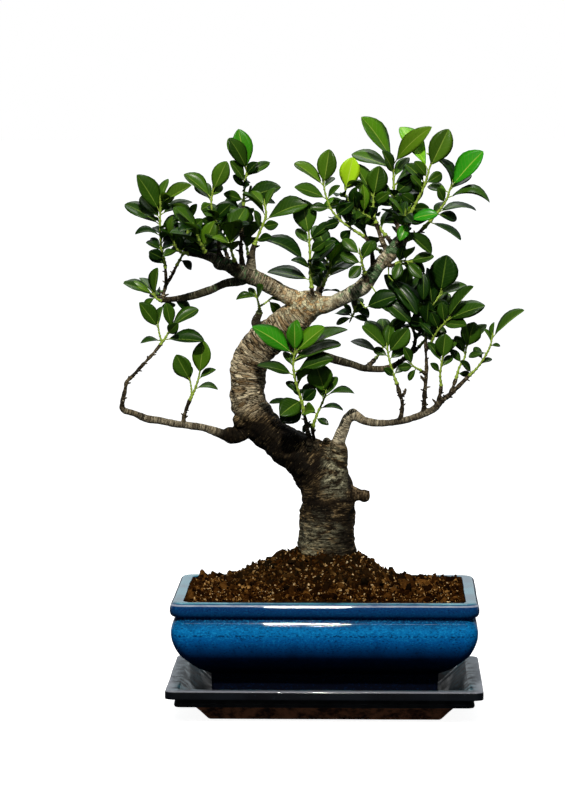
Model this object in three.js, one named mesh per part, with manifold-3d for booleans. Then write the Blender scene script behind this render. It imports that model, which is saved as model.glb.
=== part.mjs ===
// A fig grown as a bonsai in a glazed rectangular pot, which stands on a stepped drip tray.
// Millimetres, +Z up. The origin is under the trunk, on the surface that the tray stands on;
// -Y is the front, from which the tree is meant to be seen.

import * as THREE from 'three';
import * as BufferGeometryUtils from 'three/addons/utils/BufferGeometryUtils.js';
import Module from 'manifold-3d';

const wasm = await Module();
wasm.setup();

// Clearance between pieces that touch
const GAP = 0.3;

// Tray: half width and half depth of its rim, corner radius, and its section.
// Each section point is [distance in from the rim's edge, height].
const TRAY_HALF = [124.5, 97];
const TRAY_CORNER = 7;
const TRAY_FLOOR = 9;
const TRAY_OUTSIDE = [
  [33, 0], [32, 0.8], [20, 12.6], [7.5, 13.2], [7.2, 19.8], [0.9, 20.2], [0, 21.2], [0, 25.8], [1, 27],
];
const TRAY_INSIDE = [[9.5, 27], [11, 26], [13, 24], [19, 18.5], [27, 12.5], [32, TRAY_FLOOR]];

// Pot: the same, from the plinth's lower edge up to the rim and down inside to its floor.
const POT_HALF = [121, 92.5];
const POT_CORNER = 10;
const POT_FLOOR = 19.5;
const PLINTH_BOTTOM = 12.4;
const POT_OUTSIDE = [
  [32, PLINTH_BOTTOM], [31.4, 33], [30, 36.6], [21.5, 40.8], [12.4, 48], [7.4, 52.8], [3.8, 59], [1.4, 65.8],
  [0.9, 72.4], [2.2, 78.6], [4.4, 82.8], [1.4, 84.8], [0, 88], [0.4, 92.4], [2.4, 95], [5, 95.6],
];
const POT_INSIDE = [
  [9.6, 95.2], [10.4, 93.6], [9.6, 74], [12.2, 59], [20.6, 51.4], [39, 42], [39.4, POT_FLOOR],
];
const FOOT_HALF = [15, 12];
const DRAIN_RADIUS = 7;
const DRAIN_X = 42;
const DRAIN_SIDES = 12;

// Plastic mesh squares over the drain holes
const MESH_HALF = 13;
const MESH_THICK = 1.2;
const MESH_HOLES = 2;
const MESH_OPEN = 0.68;

// Soil: its level at the walls and the mound round the trunk
const SOIL_LEVEL = 94.4;
const MOUND_HEIGHT = 37;
const MOUND_LEFT = 68;
const MOUND_RIGHT = 50;
const MOUND_DEEP = 46;
const SOIL_CELLS = [12, 10];
const TRUNK_IN_SOIL = 4;

// Leaves
const BLADE_THICK = 0.9;
const LARGE_OUTLINE = [[0.14, 0.1], [0.4, 0.86], [0.74, 0.92]];
const SMALL_OUTLINE = [[0.34, 0.82], [0.72, 0.92]];
const LARGE_WIDTH = 14.5;
const BLADE_SLIM = 0.47;
const ARCH = 0.07;

// The tree is read from the front, from an eye 3 metres away. In every list below a point is
// [x, z, y, radius]: x and z are where it shows in the upright plane through the trunk, y is its
// depth, and seen() carries it along its line of sight to that depth.
const EYE = new THREE.Vector3(44.7, -3077, 500.8);
const seen = (x, z, y) => {
  const share = (y - EYE.y) / -EYE.y;
  return new THREE.Vector3(EYE.x + (x - EYE.x) * share, y, EYE.z + (z - EYE.z) * share);
};

const TRUNK = [
  [0, 47, 0, 20], [0, 96, 0, 23], [0, 119, 0, 22.2], [0.8, 143, 0, 21.4], [1.8, 167, 0, 20.9],
  [-0.2, 182, 0, 20.2], [-6.4, 190.5, 1, 19.6], [-14.4, 198.8, 2, 19], [-25.6, 206.6, 3, 17.2],
  [-41.6, 218.2, 5, 15], [-54.4, 230.8, 8, 15.2], [-61.6, 244.4, 11, 14.4], [-62.8, 258.8, 12, 13.7],
  [-61.6, 272.4, 12, 13.8], [-56.8, 284.6, 11, 14.2], [-48.6, 294.6, 9, 14.2], [-36.8, 304.4, 6, 12.6],
  [-22.4, 314.8, 3, 12], [-14.4, 323.4, 1, 11],
];

// Limbs and old twigs, all wood: each starts inside what it grew from
const LIMBS = {
  right: [
    [-16, 321, 1, 8], [-4.8, 322.8, -1, 7.4], [7.2, 326.2, -3, 5.8], [20.8, 332.8, -5, 6.2], [29.6, 338.4, -6, 6.2],
    [36, 346.8, -6, 5.6], [41.6, 354.8, -5, 5.4], [49.6, 362.8, -4, 5.8], [55.2, 369.2, -2, 5.6],
    [59.4, 375, 0, 4.6], [61.5, 381, 1, 3.2],
  ],
  stump: [[14, 170, -2, 9], [22, 171.5, -3, 6.4], [28, 170.9, -4, 4.7], [34.6, 170.4, -5, 4.5]],
  trunkKnob: [[-2, 203, -4, 9], [0, 210, -6, 6], [0.6, 214.4, -7, 3.2]],
  twigOnStub: [[59.4, 250.4, -15.2, 1.7], [62.6, 252.8, -14, 1.2], [63.4, 256, -14, 0.9]],
  stubOnUpright: [[79.2, 262, -16, 1.3], [75.8, 266.5, -17, 0.9]],
};

// Swellings of the wood
const KNOBS = [[-15.4, 322.8, 0, 12.4], [-50.6, 297, 6, 10.4]];

// A shoot is one path: wood up to the point numbered "green", then this year's stem with its leaves.
// A side stem grows out of the green part. A leaf is [x, z where its stalk begins, x, z of its tip,
// depth of the tip from its start, width as it shows, arch]. "fill" adds leaves by rule, [count, length].
const SHOOTS = {
  leftLimb: {
    path: [
      [-16, 322, 1, 9], [-20.8, 326.8, 0, 7.8], [-30.4, 330.6, -1, 6.8], [-40.8, 336.4, -3, 6.8],
      [-51.2, 342, -5, 6.4], [-60.8, 346.6, -6, 6.6], [-68.8, 349.6, -7, 5.7], [-80.8, 356.2, -9, 5.2],
      [-91.2, 361.2, -10, 4], [-100.8, 363.6, -10, 2.9], [-109, 364.4, -9, 2.2], [-117, 366, -6, 1.4],
      [-122, 374, -2, 1.1],
    ],
    green: 10,
    leaves: [[-118, 365, -130.4, 362, -8, 5, 0.12]],
    fill: [2, 26],
  },
  leftLow: {
    path: [
      [-58, 229, 8, 7], [-66, 221.5, 7, 6.2], [-74.6, 217.2, 5, 5.2], [-80, 218.5, 3, 4.5], [-96.5, 224.5, -3, 3.2],
      [-109.8, 226.5, -9, 3], [-119.8, 227.8, -14, 2.9], [-133, 230.5, -20, 3], [-143, 231.8, -24, 3],
      [-152.9, 235.8, -28, 2.5], [-162.2, 239, -31, 2.6], [-163.2, 244.6, -32, 2], [-160.9, 255, -31, 1.7],
      [-159.5, 261.6, -30, 1.8], [-154.2, 267, -28, 1.5], [-147, 274.9, -26, 1.5], [-139, 283.6, -24, 1.5],
      [-133, 290.8, -22, 1.4], [-127.4, 298.8, -21, 1.2], [-124, 306, -20, 0.9],
    ],
    green: 17,
    side: [[[-131.4, 293, -21.6, 1.1], [-133.4, 300.6, -22, 1], [-134.4, 307, -22, 0.8]]],
    leaves: [
      [-133.6, 304.8, -149.6, 325.2, -8, 11.2], [-122.4, 306.8, -102, 320, 8, 9.6],
      [-126, 300, -118, 309, -14, 9], [-136.4, 293.2, -148.8, 292.4, 6, 3.4], [-125.6, 293.2, -97.1, 294, -6, 9.6],
      [-134.4, 307, -131, 322, 8, 6], [-124, 306, -128, 325, -6, 9],
    ],
  },
  leftLowTwig: {
    path: [
      [-114, 227, -11, 2.2], [-114, 232, -11, 1.7], [-112.4, 238.4, -12, 1.5], [-109.1, 247, -13, 1.5],
      [-105.8, 253.7, -13, 1.3], [-102.5, 263, -14, 1.1], [-101.4, 268, -14, 0.9],
    ],
    green: 3,
    side: [[[-107.6, 250.2, -13, 1.1], [-107.8, 256, -12, 1], [-108.9, 263.5, -12, 0.8]]],
    leaves: [
      [-108.8, 263.6, -120, 283.6, -6, 14.4], [-101.6, 266.8, -97.8, 294.8, -5, 14.4],
      [-109.1, 262.8, -121.6, 270, 5, 4.4], [-100, 262.8, -88, 271.6, 4, 5], [-101.6, 254.8, -86.4, 255.6, 3, 4.4, 0.2],
      [-109, 262, -112, 276, 9, 7],
    ],
  },
  leftDark: {
    path: [
      [-62, 347, -4, 5], [-68.8, 342.8, 3, 4.2], [-80.8, 340.4, 9, 3.3], [-92.8, 335.2, 13, 3.2],
      [-108.8, 330, 17, 3.2], [-120.8, 328, 19, 2.6], [-129, 328, 20, 2.2], [-130, 332, 20, 1.9],
      [-128, 339.9, 20, 1.6], [-128.4, 352.4, 19, 1.4], [-129.5, 360.6, 18, 1.3], [-131.6, 368.2, 16, 1.3],
      [-132.4, 386.8, 12, 1.1], [-132.4, 406, 8, 0.9],
    ],
    green: 9,
    leaves: [
      [-135.2, 396.4, -151.2, 427.2, -8, 14.4], [-133.4, 387.6, -160.8, 403.6, 8, 11.2],
      [-132.6, 392.4, -148, 410, 12, 11.2], [-132, 404.8, -107.2, 418.8, -6, 8.8],
      [-132.6, 378.8, -152.8, 379.6, -6, 5, 0.2], [-131, 369.2, -140.2, 376.6, 5, 5],
      [-130, 360, -141.6, 366, -8, 10], [-131.8, 395.6, -106.4, 405.2, 5, 7], [-131, 372, -118, 384, -8, 8],
      [-132, 406, -126, 424, 8, 7], [-132, 384, -116, 394, 10, 8],
    ],
  },
  leftDarkFork: {
    path: [
      [-128.6, 338, 20, 1.7], [-124, 345.4, 19, 1.4], [-119.2, 355, 16, 1.3], [-113.7, 366, 13, 1.2],
      [-111, 380, 11, 1.1], [-108.8, 393, 10, 0.9],
    ],
    green: 2,
    leaves: [[-108.8, 393, -103, 404, -4, 6], [-113, 367, -122, 381, 8, 9], [-111, 380, -98, 392, -8, 9]],
    fill: [2, 25],
  },
  leftDarkEnd: {
    path: [[-122, 328, 19, 2.2], [-131, 326.4, 20, 1.6], [-136, 329, 21, 1.2], [-138, 333, 21, 0.9]],
    green: 1,
    leaves: [
      [-137, 331, -162.4, 340.4, -4, 7.2], [-136, 330, -134.4, 353.2, -7, 8], [-136.6, 331, -149, 345, 8, 6],
      [-136, 329.6, -146, 322, 3, 5],
    ],
  },
  leftUpright: {
    path: [
      [-84, 357, -8, 2.6], [-86, 370, -14, 1.8], [-85.9, 383, -17, 1.5], [-91.5, 400, -19, 1.2], [-90.4, 416, -20, 0.9],
    ],
    green: 2,
    leaves: [
      [-90.4, 414.8, -79.2, 438, -5, 13.6], [-91, 408.4, -113.6, 427.6, 4, 9.4], [-90.6, 404, -100, 399, -9, 8],
      [-88, 392, -76, 404, -9, 9], [-87, 388, -99, 392, -10, 8], [-91, 410, -84, 420, 9, 8],
    ],
    fill: [1, 24],
  },
  leftHigh: {
    path: [
      [-66, 349, -5, 3], [-68, 366, 2, 1.9], [-67.5, 382, 6, 1.7], [-66.1, 402.2, 8, 1.4], [-65, 418, 8, 1.2],
      [-63, 432, 7, 0.9],
    ],
    green: 3,
    leaves: [
      [-62.4, 431.4, -70, 463.6, -3, 16], [-64, 430, -77.6, 456.4, 8, 13.6], [-63.4, 426.8, -51.2, 436.4, 4, 8],
      [-63.6, 425.2, -44.8, 437.2, 9, 5.4], [-65, 416.4, -74.4, 427, -5, 6], [-65.4, 408.4, -36, 417.2, -7, 12.8],
      [-65.6, 402.8, -40.4, 404.4, 6, 6], [-65.8, 404, -82, 412, -8, 8], [-65, 420, -77, 438, -8, 8],
    ],
  },
  leftStub: {
    path: [
      [-60, 346, -6, 4], [-59.2, 356, -8, 3.2], [-59.2, 364, -9, 2.6], [-57.4, 371, -9, 2.1], [-54.6, 378, -10, 1.4],
      [-48.2, 394, -12, 1.2], [-49, 403, -12, 0.9],
    ],
    green: 3,
    leaves: [
      [-48.4, 390.8, -14.4, 403.6, -8, 12.8, 0.12], [-49, 400, -40.4, 417, 4, 6], [-53.2, 382, -57.8, 399, -7, 4.6],
      [-56, 374, -43, 377.5, -9, 6], [-55, 375, -19.6, 361, 4, 10, 0.16], [-49, 402, -60, 414, 8, 8],
      [-51, 386, -38, 388, -6, 8],
    ],
    fill: [1, 24],
  },
  leftFrontOuter: {
    path: [[-92, 361, -9, 2.4], [-97, 366, -20, 1.7], [-101, 374, -30, 1.4], [-105, 385, -38, 1]],
    green: 1,
    fill: [4, 28],
  },
  leftBackInner: {
    path: [
      [-78, 355, -6, 2.6], [-79, 362, 10, 1.8], [-81, 368, 22, 1.5], [-84, 377, 34, 1.3], [-88, 389, 43, 1],
    ],
    green: 2,
    fill: [4, 28],
  },
  leftBackOuter: {
    path: [[-97, 363, -9, 2.2], [-99, 366, 10, 1.6], [-103, 372, 30, 1.3], [-109, 381, 46, 1]],
    green: 1,
    fill: [3, 27],
  },
  leftFrontInner: {
    path: [[-70, 350, -8, 2.6], [-73, 358, -20, 1.7], [-76, 368, -30, 1.3], [-78, 381, -38, 1]],
    green: 1,
    fill: [3, 28],
  },
  leftFarBack: {
    path: [
      [-64, 348, -4, 3], [-62, 355, 14, 2.2], [-62, 362, 30, 1.7], [-64, 372, 44, 1.3], [-68, 386, 56, 1],
    ],
    green: 2,
    fill: [4, 28],
  },
  stubTwig: {
    path: [
      [-49, 294, 9, 7], [-54.5, 305, 6, 4.4], [-56.2, 310.6, 5, 3.6], [-53.6, 316.5, 2, 2.7], [-53.4, 321, 0, 1.6],
      [-54.4, 326, -2, 1.1], [-55.6, 330, -3, 0.9],
    ],
    green: 3,
    side: [[[-53.6, 322, -0.6, 1.1], [-48.5, 325, 1, 1], [-45, 328, 2, 0.8]]],
    leaves: [
      [-55.4, 329.4, -72, 327.4, -3, 5.4, 0.2], [-45.6, 327.4, -29, 331, -5, 9], [-46, 327, -38, 318, 6, 8],
      [-54.6, 327, -50, 339, -6, 5], [-55, 329, -62, 337, 5, 5],
    ],
  },
  centreFront: {
    path: [
      [-12, 320, -3, 4], [-11.4, 331, -8, 2.4], [-11.6, 337, -10, 1.8], [-12.5, 350.4, -11, 1.5],
      [-13.1, 367, -12, 1.3], [-13.8, 380, -12, 1],
    ],
    green: 2,
    leaves: [
      [-13.6, 378.8, -19.2, 407.6, -5, 18.4], [-13, 374, 6.1, 388.8, -4, 6.4], [-13, 366, -1, 374, -9, 9],
      [-12.5, 350.4, 7, 372.4, 5, 9], [-12.6, 352, -28.4, 359, -7, 5.4, 0.2], [-12.4, 343, -47.2, 349.6, 7, 9.6],
      [-13.4, 372, -24, 384, 8, 8], [-12.6, 356, 0, 352, -12, 9],
    ],
  },
  centreBack: {
    path: [
      [-10, 320, 6, 6], [-7, 330, 22, 3.6], [-5, 337, 38, 2.6], [-2, 344, 52, 1.8], [0, 354, 62, 1.3], [2, 366, 68, 1],
    ],
    green: 3,
    fill: [4, 27],
  },
  centreMiddle: {
    path: [[-6.6, 331, 24, 2.2], [-3, 338, 26, 1.6], [1, 347, 27, 1.3], [4, 359, 26, 1]],
    green: 1,
    fill: [3, 27],
  },
  rightFront: {
    path: [[33, 341, -8, 2.6], [31, 348, -17, 1.7], [29, 355, -24, 1.3], [27, 365, -29, 1]],
    green: 1,
    leaves: [[29, 357, 11.2, 364, 4, 9], [28, 360, 36, 374, -4, 9], [29, 356, 18, 345, -6, 9], [27, 364, 12.8, 376, 5, 9]],
    fill: [1, 24],
  },
  underRight: {
    path: [[22, 331, -2, 3], [23, 324, 8, 1.6], [22.4, 318, 15, 1.2], [20, 312.6, 20, 0.9]],
    green: 1,
    leaves: [[21, 315, 13, 324, -4, 4], [21.4, 316, 31, 324, -5, 5], [20, 313, 8, 308, 4, 5], [21, 314, 33, 311, 3, 5]],
    fill: [1, 17],
  },
  topLeft: {
    path: [
      [38, 350, -6, 3], [37, 360, -9, 2.1], [35.5, 370.6, -11, 1.7], [30.4, 377.6, -13, 1.4], [21.2, 383.6, -14, 1.3],
      [11.2, 391, -15, 1.2], [4, 399.5, -16, 1.1], [-0.2, 410.2, -16, 1], [-2.4, 420, -16, 0.8],
    ],
    green: 3,
    leaves: [
      [-2.4, 420, 2.4, 447.6, -4, 15.2], [-2.2, 419, -25.6, 436.4, 5, 9], [0.6, 407.6, -25.6, 417.2, -7, 9.4],
      [3.4, 400.6, -13.1, 400.6, 4, 7], [-1.6, 417, 6.6, 425, 8, 4.6], [1, 407.6, 11.2, 418.6, -4, 4.6],
      [8, 394, 22, 405, -6, 9], [12, 391, -2, 386, -8, 8], [20, 384.4, 12, 376, 5, 8],
    ],
  },
  topMiddle: {
    path: [
      [50, 363, -6, 2.8], [44, 376, 2, 1.9], [40, 388, 6, 1.7], [37.6, 398, 8, 1.4], [37.6, 411, 8, 1],
    ],
    green: 2,
    side: [[[38.8, 392, 6.6, 1.2], [30, 395.6, 3, 1.1], [22.6, 400.5, 1, 1], [16, 409, 0, 0.9], [15, 415, 0, 0.8]]],
    leaves: [
      [14.8, 414.8, 21.2, 441.2, -4, 16], [17.6, 408.4, 28.5, 412, -7, 6], [37.2, 410, 20, 422.6, 6, 7.4],
      [37.6, 411, 42.4, 434.4, -4, 16.8], [37.8, 408, 22, 436, 10, 10], [38, 404, 50, 413, -8, 9],
      [27, 397, 18, 388, -6, 8], [38, 399, 28, 388, 9, 8],
    ],
    fill: [1, 24],
  },
  topHigh: {
    path: [
      [60, 376, 0, 3.6], [57.5, 383, 4, 2.4], [55.8, 391.6, 6, 1.9], [54.3, 401.7, 7, 1.6], [53.6, 419.6, 8, 1.3],
      [53.2, 438, 8, 0.9],
    ],
    green: 3,
    leaves: [
      [52.6, 437.4, 27.6, 473.2, -6, 13.4], [53.4, 436.6, 84, 465.2, -4, 14.4], [53.6, 418.8, 79.2, 432.4, -8, 6.8, 0.18],
      [53.8, 412, 69.6, 424, -9, 12], [53.4, 430, 20, 443.6, 5, 10.4], [54, 410, 40, 420, -8, 9],
      [53.6, 424, 66, 441, 8, 8], [53.6, 428, 44, 446, -9, 8], [54.2, 403, 66, 401, 9, 9],
    ],
  },
  topRight: {
    path: [
      [61, 378, 0, 3.6], [64, 387, -6, 2.2], [66.4, 395, -9, 1.7], [72.8, 407.4, -12, 1.4], [78.6, 420.2, -14, 1.2],
      [82.5, 434, -15, 0.9],
    ],
    green: 2,
    leaves: [
      [81, 429.2, 59.2, 465.2, 9, 10.6], [82.4, 433.4, 97.2, 463.6, -4, 17.6], [77, 416.2, 67, 426.8, -5, 6.6],
      [78.6, 420, 92, 428, 8, 9], [71, 404, 60, 412, -8, 9], [80, 425, 70, 438, -9, 8], [69, 400, 82, 401, -9, 9],
    ],
    fill: [1, 24],
  },
  topFarRight: {
    path: [
      [60.5, 375, -1, 3.6], [66, 377, -4, 2.4], [71, 379, -6, 1.9], [77.2, 384.6, -8, 1.6], [89.4, 398.1, -10, 1.3],
      [95.8, 408, -11, 1.2], [99, 418, -11, 0.9],
    ],
    green: 3,
    leaves: [
      [99, 417.2, 124.8, 446, -5, 16], [98, 414.6, 115.6, 427, 7, 7.4], [96.4, 408.4, 130.1, 405, -5, 6, 0.22],
      [88.8, 396.9, 119.4, 399, 5, 5.4, 0.16], [82, 389.4, 107.2, 375, -6, 5.4], [83.4, 390.4, 64.6, 394.4, -7, 11.2],
      [98.6, 417, 87.2, 444.6, 6, 14.4], [97.6, 413.4, 80.4, 418, 9, 7], [94, 405, 88.4, 417, -9, 7],
      [86, 393, 93, 406, 9, 6], [88, 396, 104, 392, 10, 8],
    ],
  },
  topBackOuter: {
    path: [[62, 379, 1, 3], [64, 385, 16, 2], [66, 389, 30, 1.6], [68, 396, 42, 1.3], [71, 407, 50, 1]],
    green: 2,
    fill: [4, 28],
  },
  topBackInner: {
    path: [[55, 370, 1, 2.8], [48, 378, 16, 1.8], [42, 386, 28, 1.3], [37, 398, 38, 1]],
    green: 1,
    fill: [4, 28],
  },
  topFront: {
    path: [[57, 371, -4, 2.8], [60, 377, -20, 1.8], [62, 385, -32, 1.3], [63, 396, -40, 1]],
    green: 1,
    leaves: [[62, 386, 66, 374, -5, 5], [62, 383, 84, 364.4, 3, 9.4]],
    fill: [2, 26],
  },
  backLimb: {
    path: [
      [44, 356, -2, 4.6], [50, 361, 18, 2.9], [54, 365, 38, 2.3], [58, 370, 54, 1.7], [62, 378, 66, 1.3],
      [65, 390, 74, 1],
    ],
    green: 3,
    fill: [4, 28],
  },
  backLimbInner: {
    path: [[51.6, 362.4, 27, 2.4], [44, 366, 40, 1.6], [36, 372, 50, 1.3], [30, 382, 58, 1]],
    green: 1,
    fill: [3, 28],
  },
  rightFrontLow: {
    path: [[46, 359, -6, 2.6], [50, 355, -13, 1.7], [55, 356, -18, 1.4], [60.5, 358.6, -21, 1.2], [67, 358, -23, 0.9]],
    green: 2,
    leaves: [[64, 358.4, 76, 345, -5, 9], [66, 358, 86, 362, -5, 8], [60, 358, 54, 344, -6, 9], [58, 357, 62, 371, -7, 8]],
    fill: [1, 22],
  },
  rightLow: {
    path: [
      [1.6, 170, -2, 14], [6.4, 192, -3, 10.6], [9.2, 206.8, -4, 8], [10.1, 213.8, -5, 5.6], [13.1, 222.4, -6, 4.8],
      [17.2, 232, -8, 4.2], [23, 235, -9, 4.2], [31.2, 230.6, -11, 3.3], [44.8, 228.8, -14, 3], [58.8, 230.2, -17, 2.7],
      [69.1, 233, -19, 2.8], [78.1, 236.4, -21, 3], [86.3, 240.5, -22, 2.8], [93.2, 247.4, -23, 2.3],
      [100.1, 252.9, -24, 2], [107, 259.8, -25, 1.6], [113.9, 266.8, -26, 1.4], [120.8, 273.6, -27, 1.2],
      [127.7, 283.9, -28, 1.1], [131.1, 291.6, -28, 1], [132.5, 298, -28, 0.8],
    ],
    green: 16,
    leaves: [
      [132.2, 297, 158.2, 319.6, -5, 6], [128.4, 285.8, 113.6, 281.8, -4, 4.4], [131.6, 294, 126, 304.6, 3, 3.4],
      [131, 291, 139, 291, 4, 3], [122.6, 276.4, 132.6, 280.4, 3, 3.4], [132.4, 297, 134, 310, 4, 4],
      [116, 268.6, 107, 279, -6, 5], [125, 280, 118, 290, 6, 6],
    ],
  },
  rightTwigInner: {
    path: [
      [58.5, 230.2, -17, 2.4], [60.2, 236, -17, 1.8], [60.8, 245.4, -16, 1.6], [58.8, 252.2, -15, 1.7],
      [56.7, 259.8, -14, 1.5], [53.3, 269.4, -13, 1.3], [50.4, 279.8, -12, 1.1], [49, 288, -12, 0.9],
    ],
    green: 4,
    leaves: [
      [49, 287, 28.5, 306.8, -5, 9.4], [50, 282, 37.6, 288.6, 4, 6.4], [49.4, 285, 66, 305, -5, 14.4],
      [54.6, 266, 46, 273, -6, 5.4], [50.6, 280, 62, 291, 6, 9], [49, 288, 52, 309, 6, 9], [54, 268, 63, 275, 4, 5.4],
    ],
  },
  rightTwigMiddle: {
    path: [
      [78.1, 236.2, -21, 2.6], [78.4, 244, -20, 2], [78.7, 252.2, -18, 1.9], [79.4, 260.5, -16, 1.6],
      [80.2, 272.9, -13, 1.5], [79.4, 290.2, -9, 1.4], [79.6, 300, -6, 1.3], [80.8, 310.8, -4, 1.2],
      [85, 322, -2, 1.1], [92, 334, 0, 0.9],
    ],
    green: 6,
    leaves: [
      [92, 334, 96, 363.6, -6, 22], [84, 319, 80, 353.6, 5, 11.4], [80, 306, 81.6, 327, -8, 11.2],
      [81, 311, 50, 341, -9, 11.2], [90, 330, 112, 339.6, 6, 7], [82, 314, 99.7, 318, -8, 7],
      [86, 324, 72, 336, 8, 9], [80, 308, 64, 312, -6, 9],
    ],
  },
  rightTwigSide: {
    path: [
      [79.6, 268, -14, 2], [76, 271, -17, 1.3], [72, 273, -20, 1.1], [68, 276, -22, 0.8],
    ],
    green: 1,
    leaves: [[70, 274.6, 57.6, 273.6, -3, 7.2], [68.4, 275.6, 62, 290, -4, 7], [72, 273, 66, 263, 3, 5]],
  },
  rightTwigOuter: {
    path: [
      [88, 241.6, -22, 2.6], [90.4, 249.5, -23, 1.7], [91.8, 258.4, -26, 1.4], [91.1, 268, -28, 1.2],
      [93, 282, -30, 0.9],
    ],
    green: 2,
    leaves: [
      [93, 281, 95.2, 300.8, -4, 14.4], [92.4, 278, 81, 294, 5, 7], [91.2, 269, 83, 277, -4, 4.6],
      [92, 274, 101, 283, 5, 6], [93, 281, 104, 296, 5, 7],
    ],
  },
  rightTwigEnd: {
    path: [
      [99, 252, -24, 2], [101, 257, -24, 1.5], [103.5, 263.9, -22, 1.4], [106.3, 273.6, -20, 1.2],
      [110.4, 281.2, -18, 1.1], [112, 291, -17, 0.9],
    ],
    green: 2,
    leaves: [
      [111.4, 289, 118.1, 310.2, -5, 16], [112, 291, 128, 308.2, 5, 7.6], [108, 277, 99, 288, -5, 6],
      [105, 269, 115, 268.6, -4, 5], [111, 284, 103, 299, 6, 8], [112, 290, 108, 308, -6, 7],
    ],
  },
  middleBack: {
    path: [
      [-48, 291, 10, 7], [-34.4, 290.8, 16, 4.6], [-11.2, 285.6, 22, 4], [7.2, 279.6, 28, 3.4], [19.2, 276.4, 32, 3.2],
      [31.2, 272.8, 36, 2.9], [48, 272.6, 40, 2.6], [57.6, 277.2, 42, 2.2], [67.2, 285.2, 42, 2],
      [71.2, 296.4, 40, 1.7], [67.2, 310, 36, 1.4], [64, 321, 33, 1.2], [62, 331, 32, 0.9],
    ],
    green: 10,
    leaves: [
      [64, 322, 46, 347.6, -7, 11.6], [66, 316, 40, 326, -5, 11], [62, 331, 66, 354, -4, 11], [66, 314, 50, 303, -8, 9],
      [63, 326, 78, 340, 7, 9],
    ],
    fill: [2, 27],
  },
  middleUpper: {
    path: [[64, 281, 42, 2.2], [74, 290, 46, 1.4], [82, 300, 48, 1.2], [90, 311, 48, 0.9]],
    green: 1,
    fill: [3, 28],
  },
  middleOuter: {
    path: [[71.4, 297, 40, 1.9], [77, 305, 36, 1.3], [82, 314, 30, 1.1], [87, 324, 26, 0.9]],
    green: 1,
    fill: [2, 27],
  },
  middleFar: {
    path: [[31, 272.6, 36, 2.4], [38, 279, 50, 1.7], [44, 287, 62, 1.3], [48, 298, 70, 1]],
    green: 1,
    fill: [4, 27],
  },
  rightSpray: {
    path: [[79.6, 287, -10, 1.6], [84, 294, -16, 1.2], [89, 303, -22, 1.1], [97, 312, -26, 0.8]],
    green: 1,
    leaves: [
      [96, 311, 117.6, 338.6, -4, 7], [95.6, 310.6, 115.6, 326, 6, 6], [96.6, 311.6, 127, 322.8, -5, 10.4],
      [91, 305.4, 118.6, 316, 5, 6.6], [93, 307.6, 112, 307, -5, 7.6], [90, 304, 84, 318, -6, 8],
      [94, 309, 92, 326, -5, 9],
    ],
  },
  front: {
    path: [
      [-13, 205, -8, 3.4], [-13.4, 213, -19, 2.4], [-15, 224, -26, 1.9], [-17.5, 236, -30, 1.7], [-20, 247.6, -33, 1.5],
      [-24.4, 262, -36, 1.3], [-26.4, 276, -38, 1.1], [-25, 286, -38, 0.9],
    ],
    green: 3,
    leaves: [
      [-25.6, 282.8, -59.5, 306, -6, 13.6], [-25, 286, -23.2, 311.8, 5, 10.4], [-25, 285.6, -1.1, 306, -5, 12.8],
      [-25, 284, 17.6, 303.6, 4, 8], [-26, 279, 12, 292, 6, 9.4], [-25.6, 267, -55.5, 275, -6, 7.4],
      [-26.2, 274, -34, 286, 6, 6], [-25.4, 270, 6.2, 280.4, -5, 10.4], [-20, 247.6, -35.2, 229, -8, 17.6],
      [-21, 250, -32, 262, 6, 6], [-20, 245, -8, 256, -6, 8.4], [-19, 242, -45.6, 245.2, 5, 3.6],
    ],
  },
  frontSide: {
    path: [
      [-7, 206, -8, 2.8], [-9.4, 215, -18, 1.9], [-10.6, 225, -22, 1.6], [-7.2, 235.8, -25, 1.3],
      [-1.1, 249.8, -27, 1], [0, 257, -28, 0.8],
    ],
    green: 2,
    leaves: [
      [-0.6, 252.4, -8.4, 277, -6, 20], [-1, 250.2, 22.9, 252.4, -4, 4, 0.16], [-5.4, 240.6, 13.8, 239, 4, 4, 0.16],
      [-7, 236, -17, 243, 5, 6], [-1, 250, 9, 266, 6, 8], [-8, 233, 2, 227, -5, 5], [-9.6, 229, -19, 222, -6, 5],
    ],
  },
};

// Rule for the leaves that the lists leave out: the turn from one to the next, how far they spread
// sideways against fore and aft, the stretch of stem that bears them, how steeply they rise, their
// reach and width as shares, and the way that their faces lean
const FILL_TURN = 2.399;
const FILL_SPREAD = 0.72;
const FILL_STRETCH = [0.25, 0.7];
const FILL_PHASE = 0.6;
const FILL_RISE = [0.15, 0.75, 0.25];
const FILL_REACH = [0.82, 0.36];
const FILL_WIDER = 0.06;
const FILL_FACING = [0.25, -0.35, 1];

// A small generator of repeatable random numbers from 0 to 1
const DICE_FACTOR = 16807;
const DICE_SPAN = 2147483647;
const dice = (seed) => {
  let state = seed;
  return () => {
    state = (state * DICE_FACTOR) % DICE_SPAN;
    return state / DICE_SPAN;
  };
};

// Smooth value at "t" segments along a list of numbers
const blendAlong = (list, t) => {
  const i = Math.min(Math.floor(t), list.length - 2);
  const f = t - i;
  const b = list[i];
  const c = list[i + 1];
  const a = i > 0 ? list[i - 1] : 2 * b - c;
  const d = i + 2 < list.length ? list[i + 2] : 2 * c - b;
  return b + 0.5 * f * (c - a + f * (2 * a - 5 * b + 4 * c - d + f * (3 * (b - c) + d - a)));
};

// A path's point, direction and radius at "t" segments from its start
const pathOf = (rows) => {
  const points = rows.map(([x, z, y]) => seen(x, z, y));
  const lists = ['x', 'y', 'z'].map((axis) => points.map((point) => point[axis]));
  const radii = rows.map((row) => row[3]);
  const at = (t) => new THREE.Vector3(...lists.map((list) => blendAlong(list, t)));
  const direction = (t) => {
    const low = Math.max(t - 0.05, 0);
    const high = Math.min(t + 0.05, rows.length - 1);
    return at(high).sub(at(low)).normalize();
  };
  return { at, direction, radius: (t) => blendAlong(radii, t), last: rows.length - 1 };
};

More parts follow.
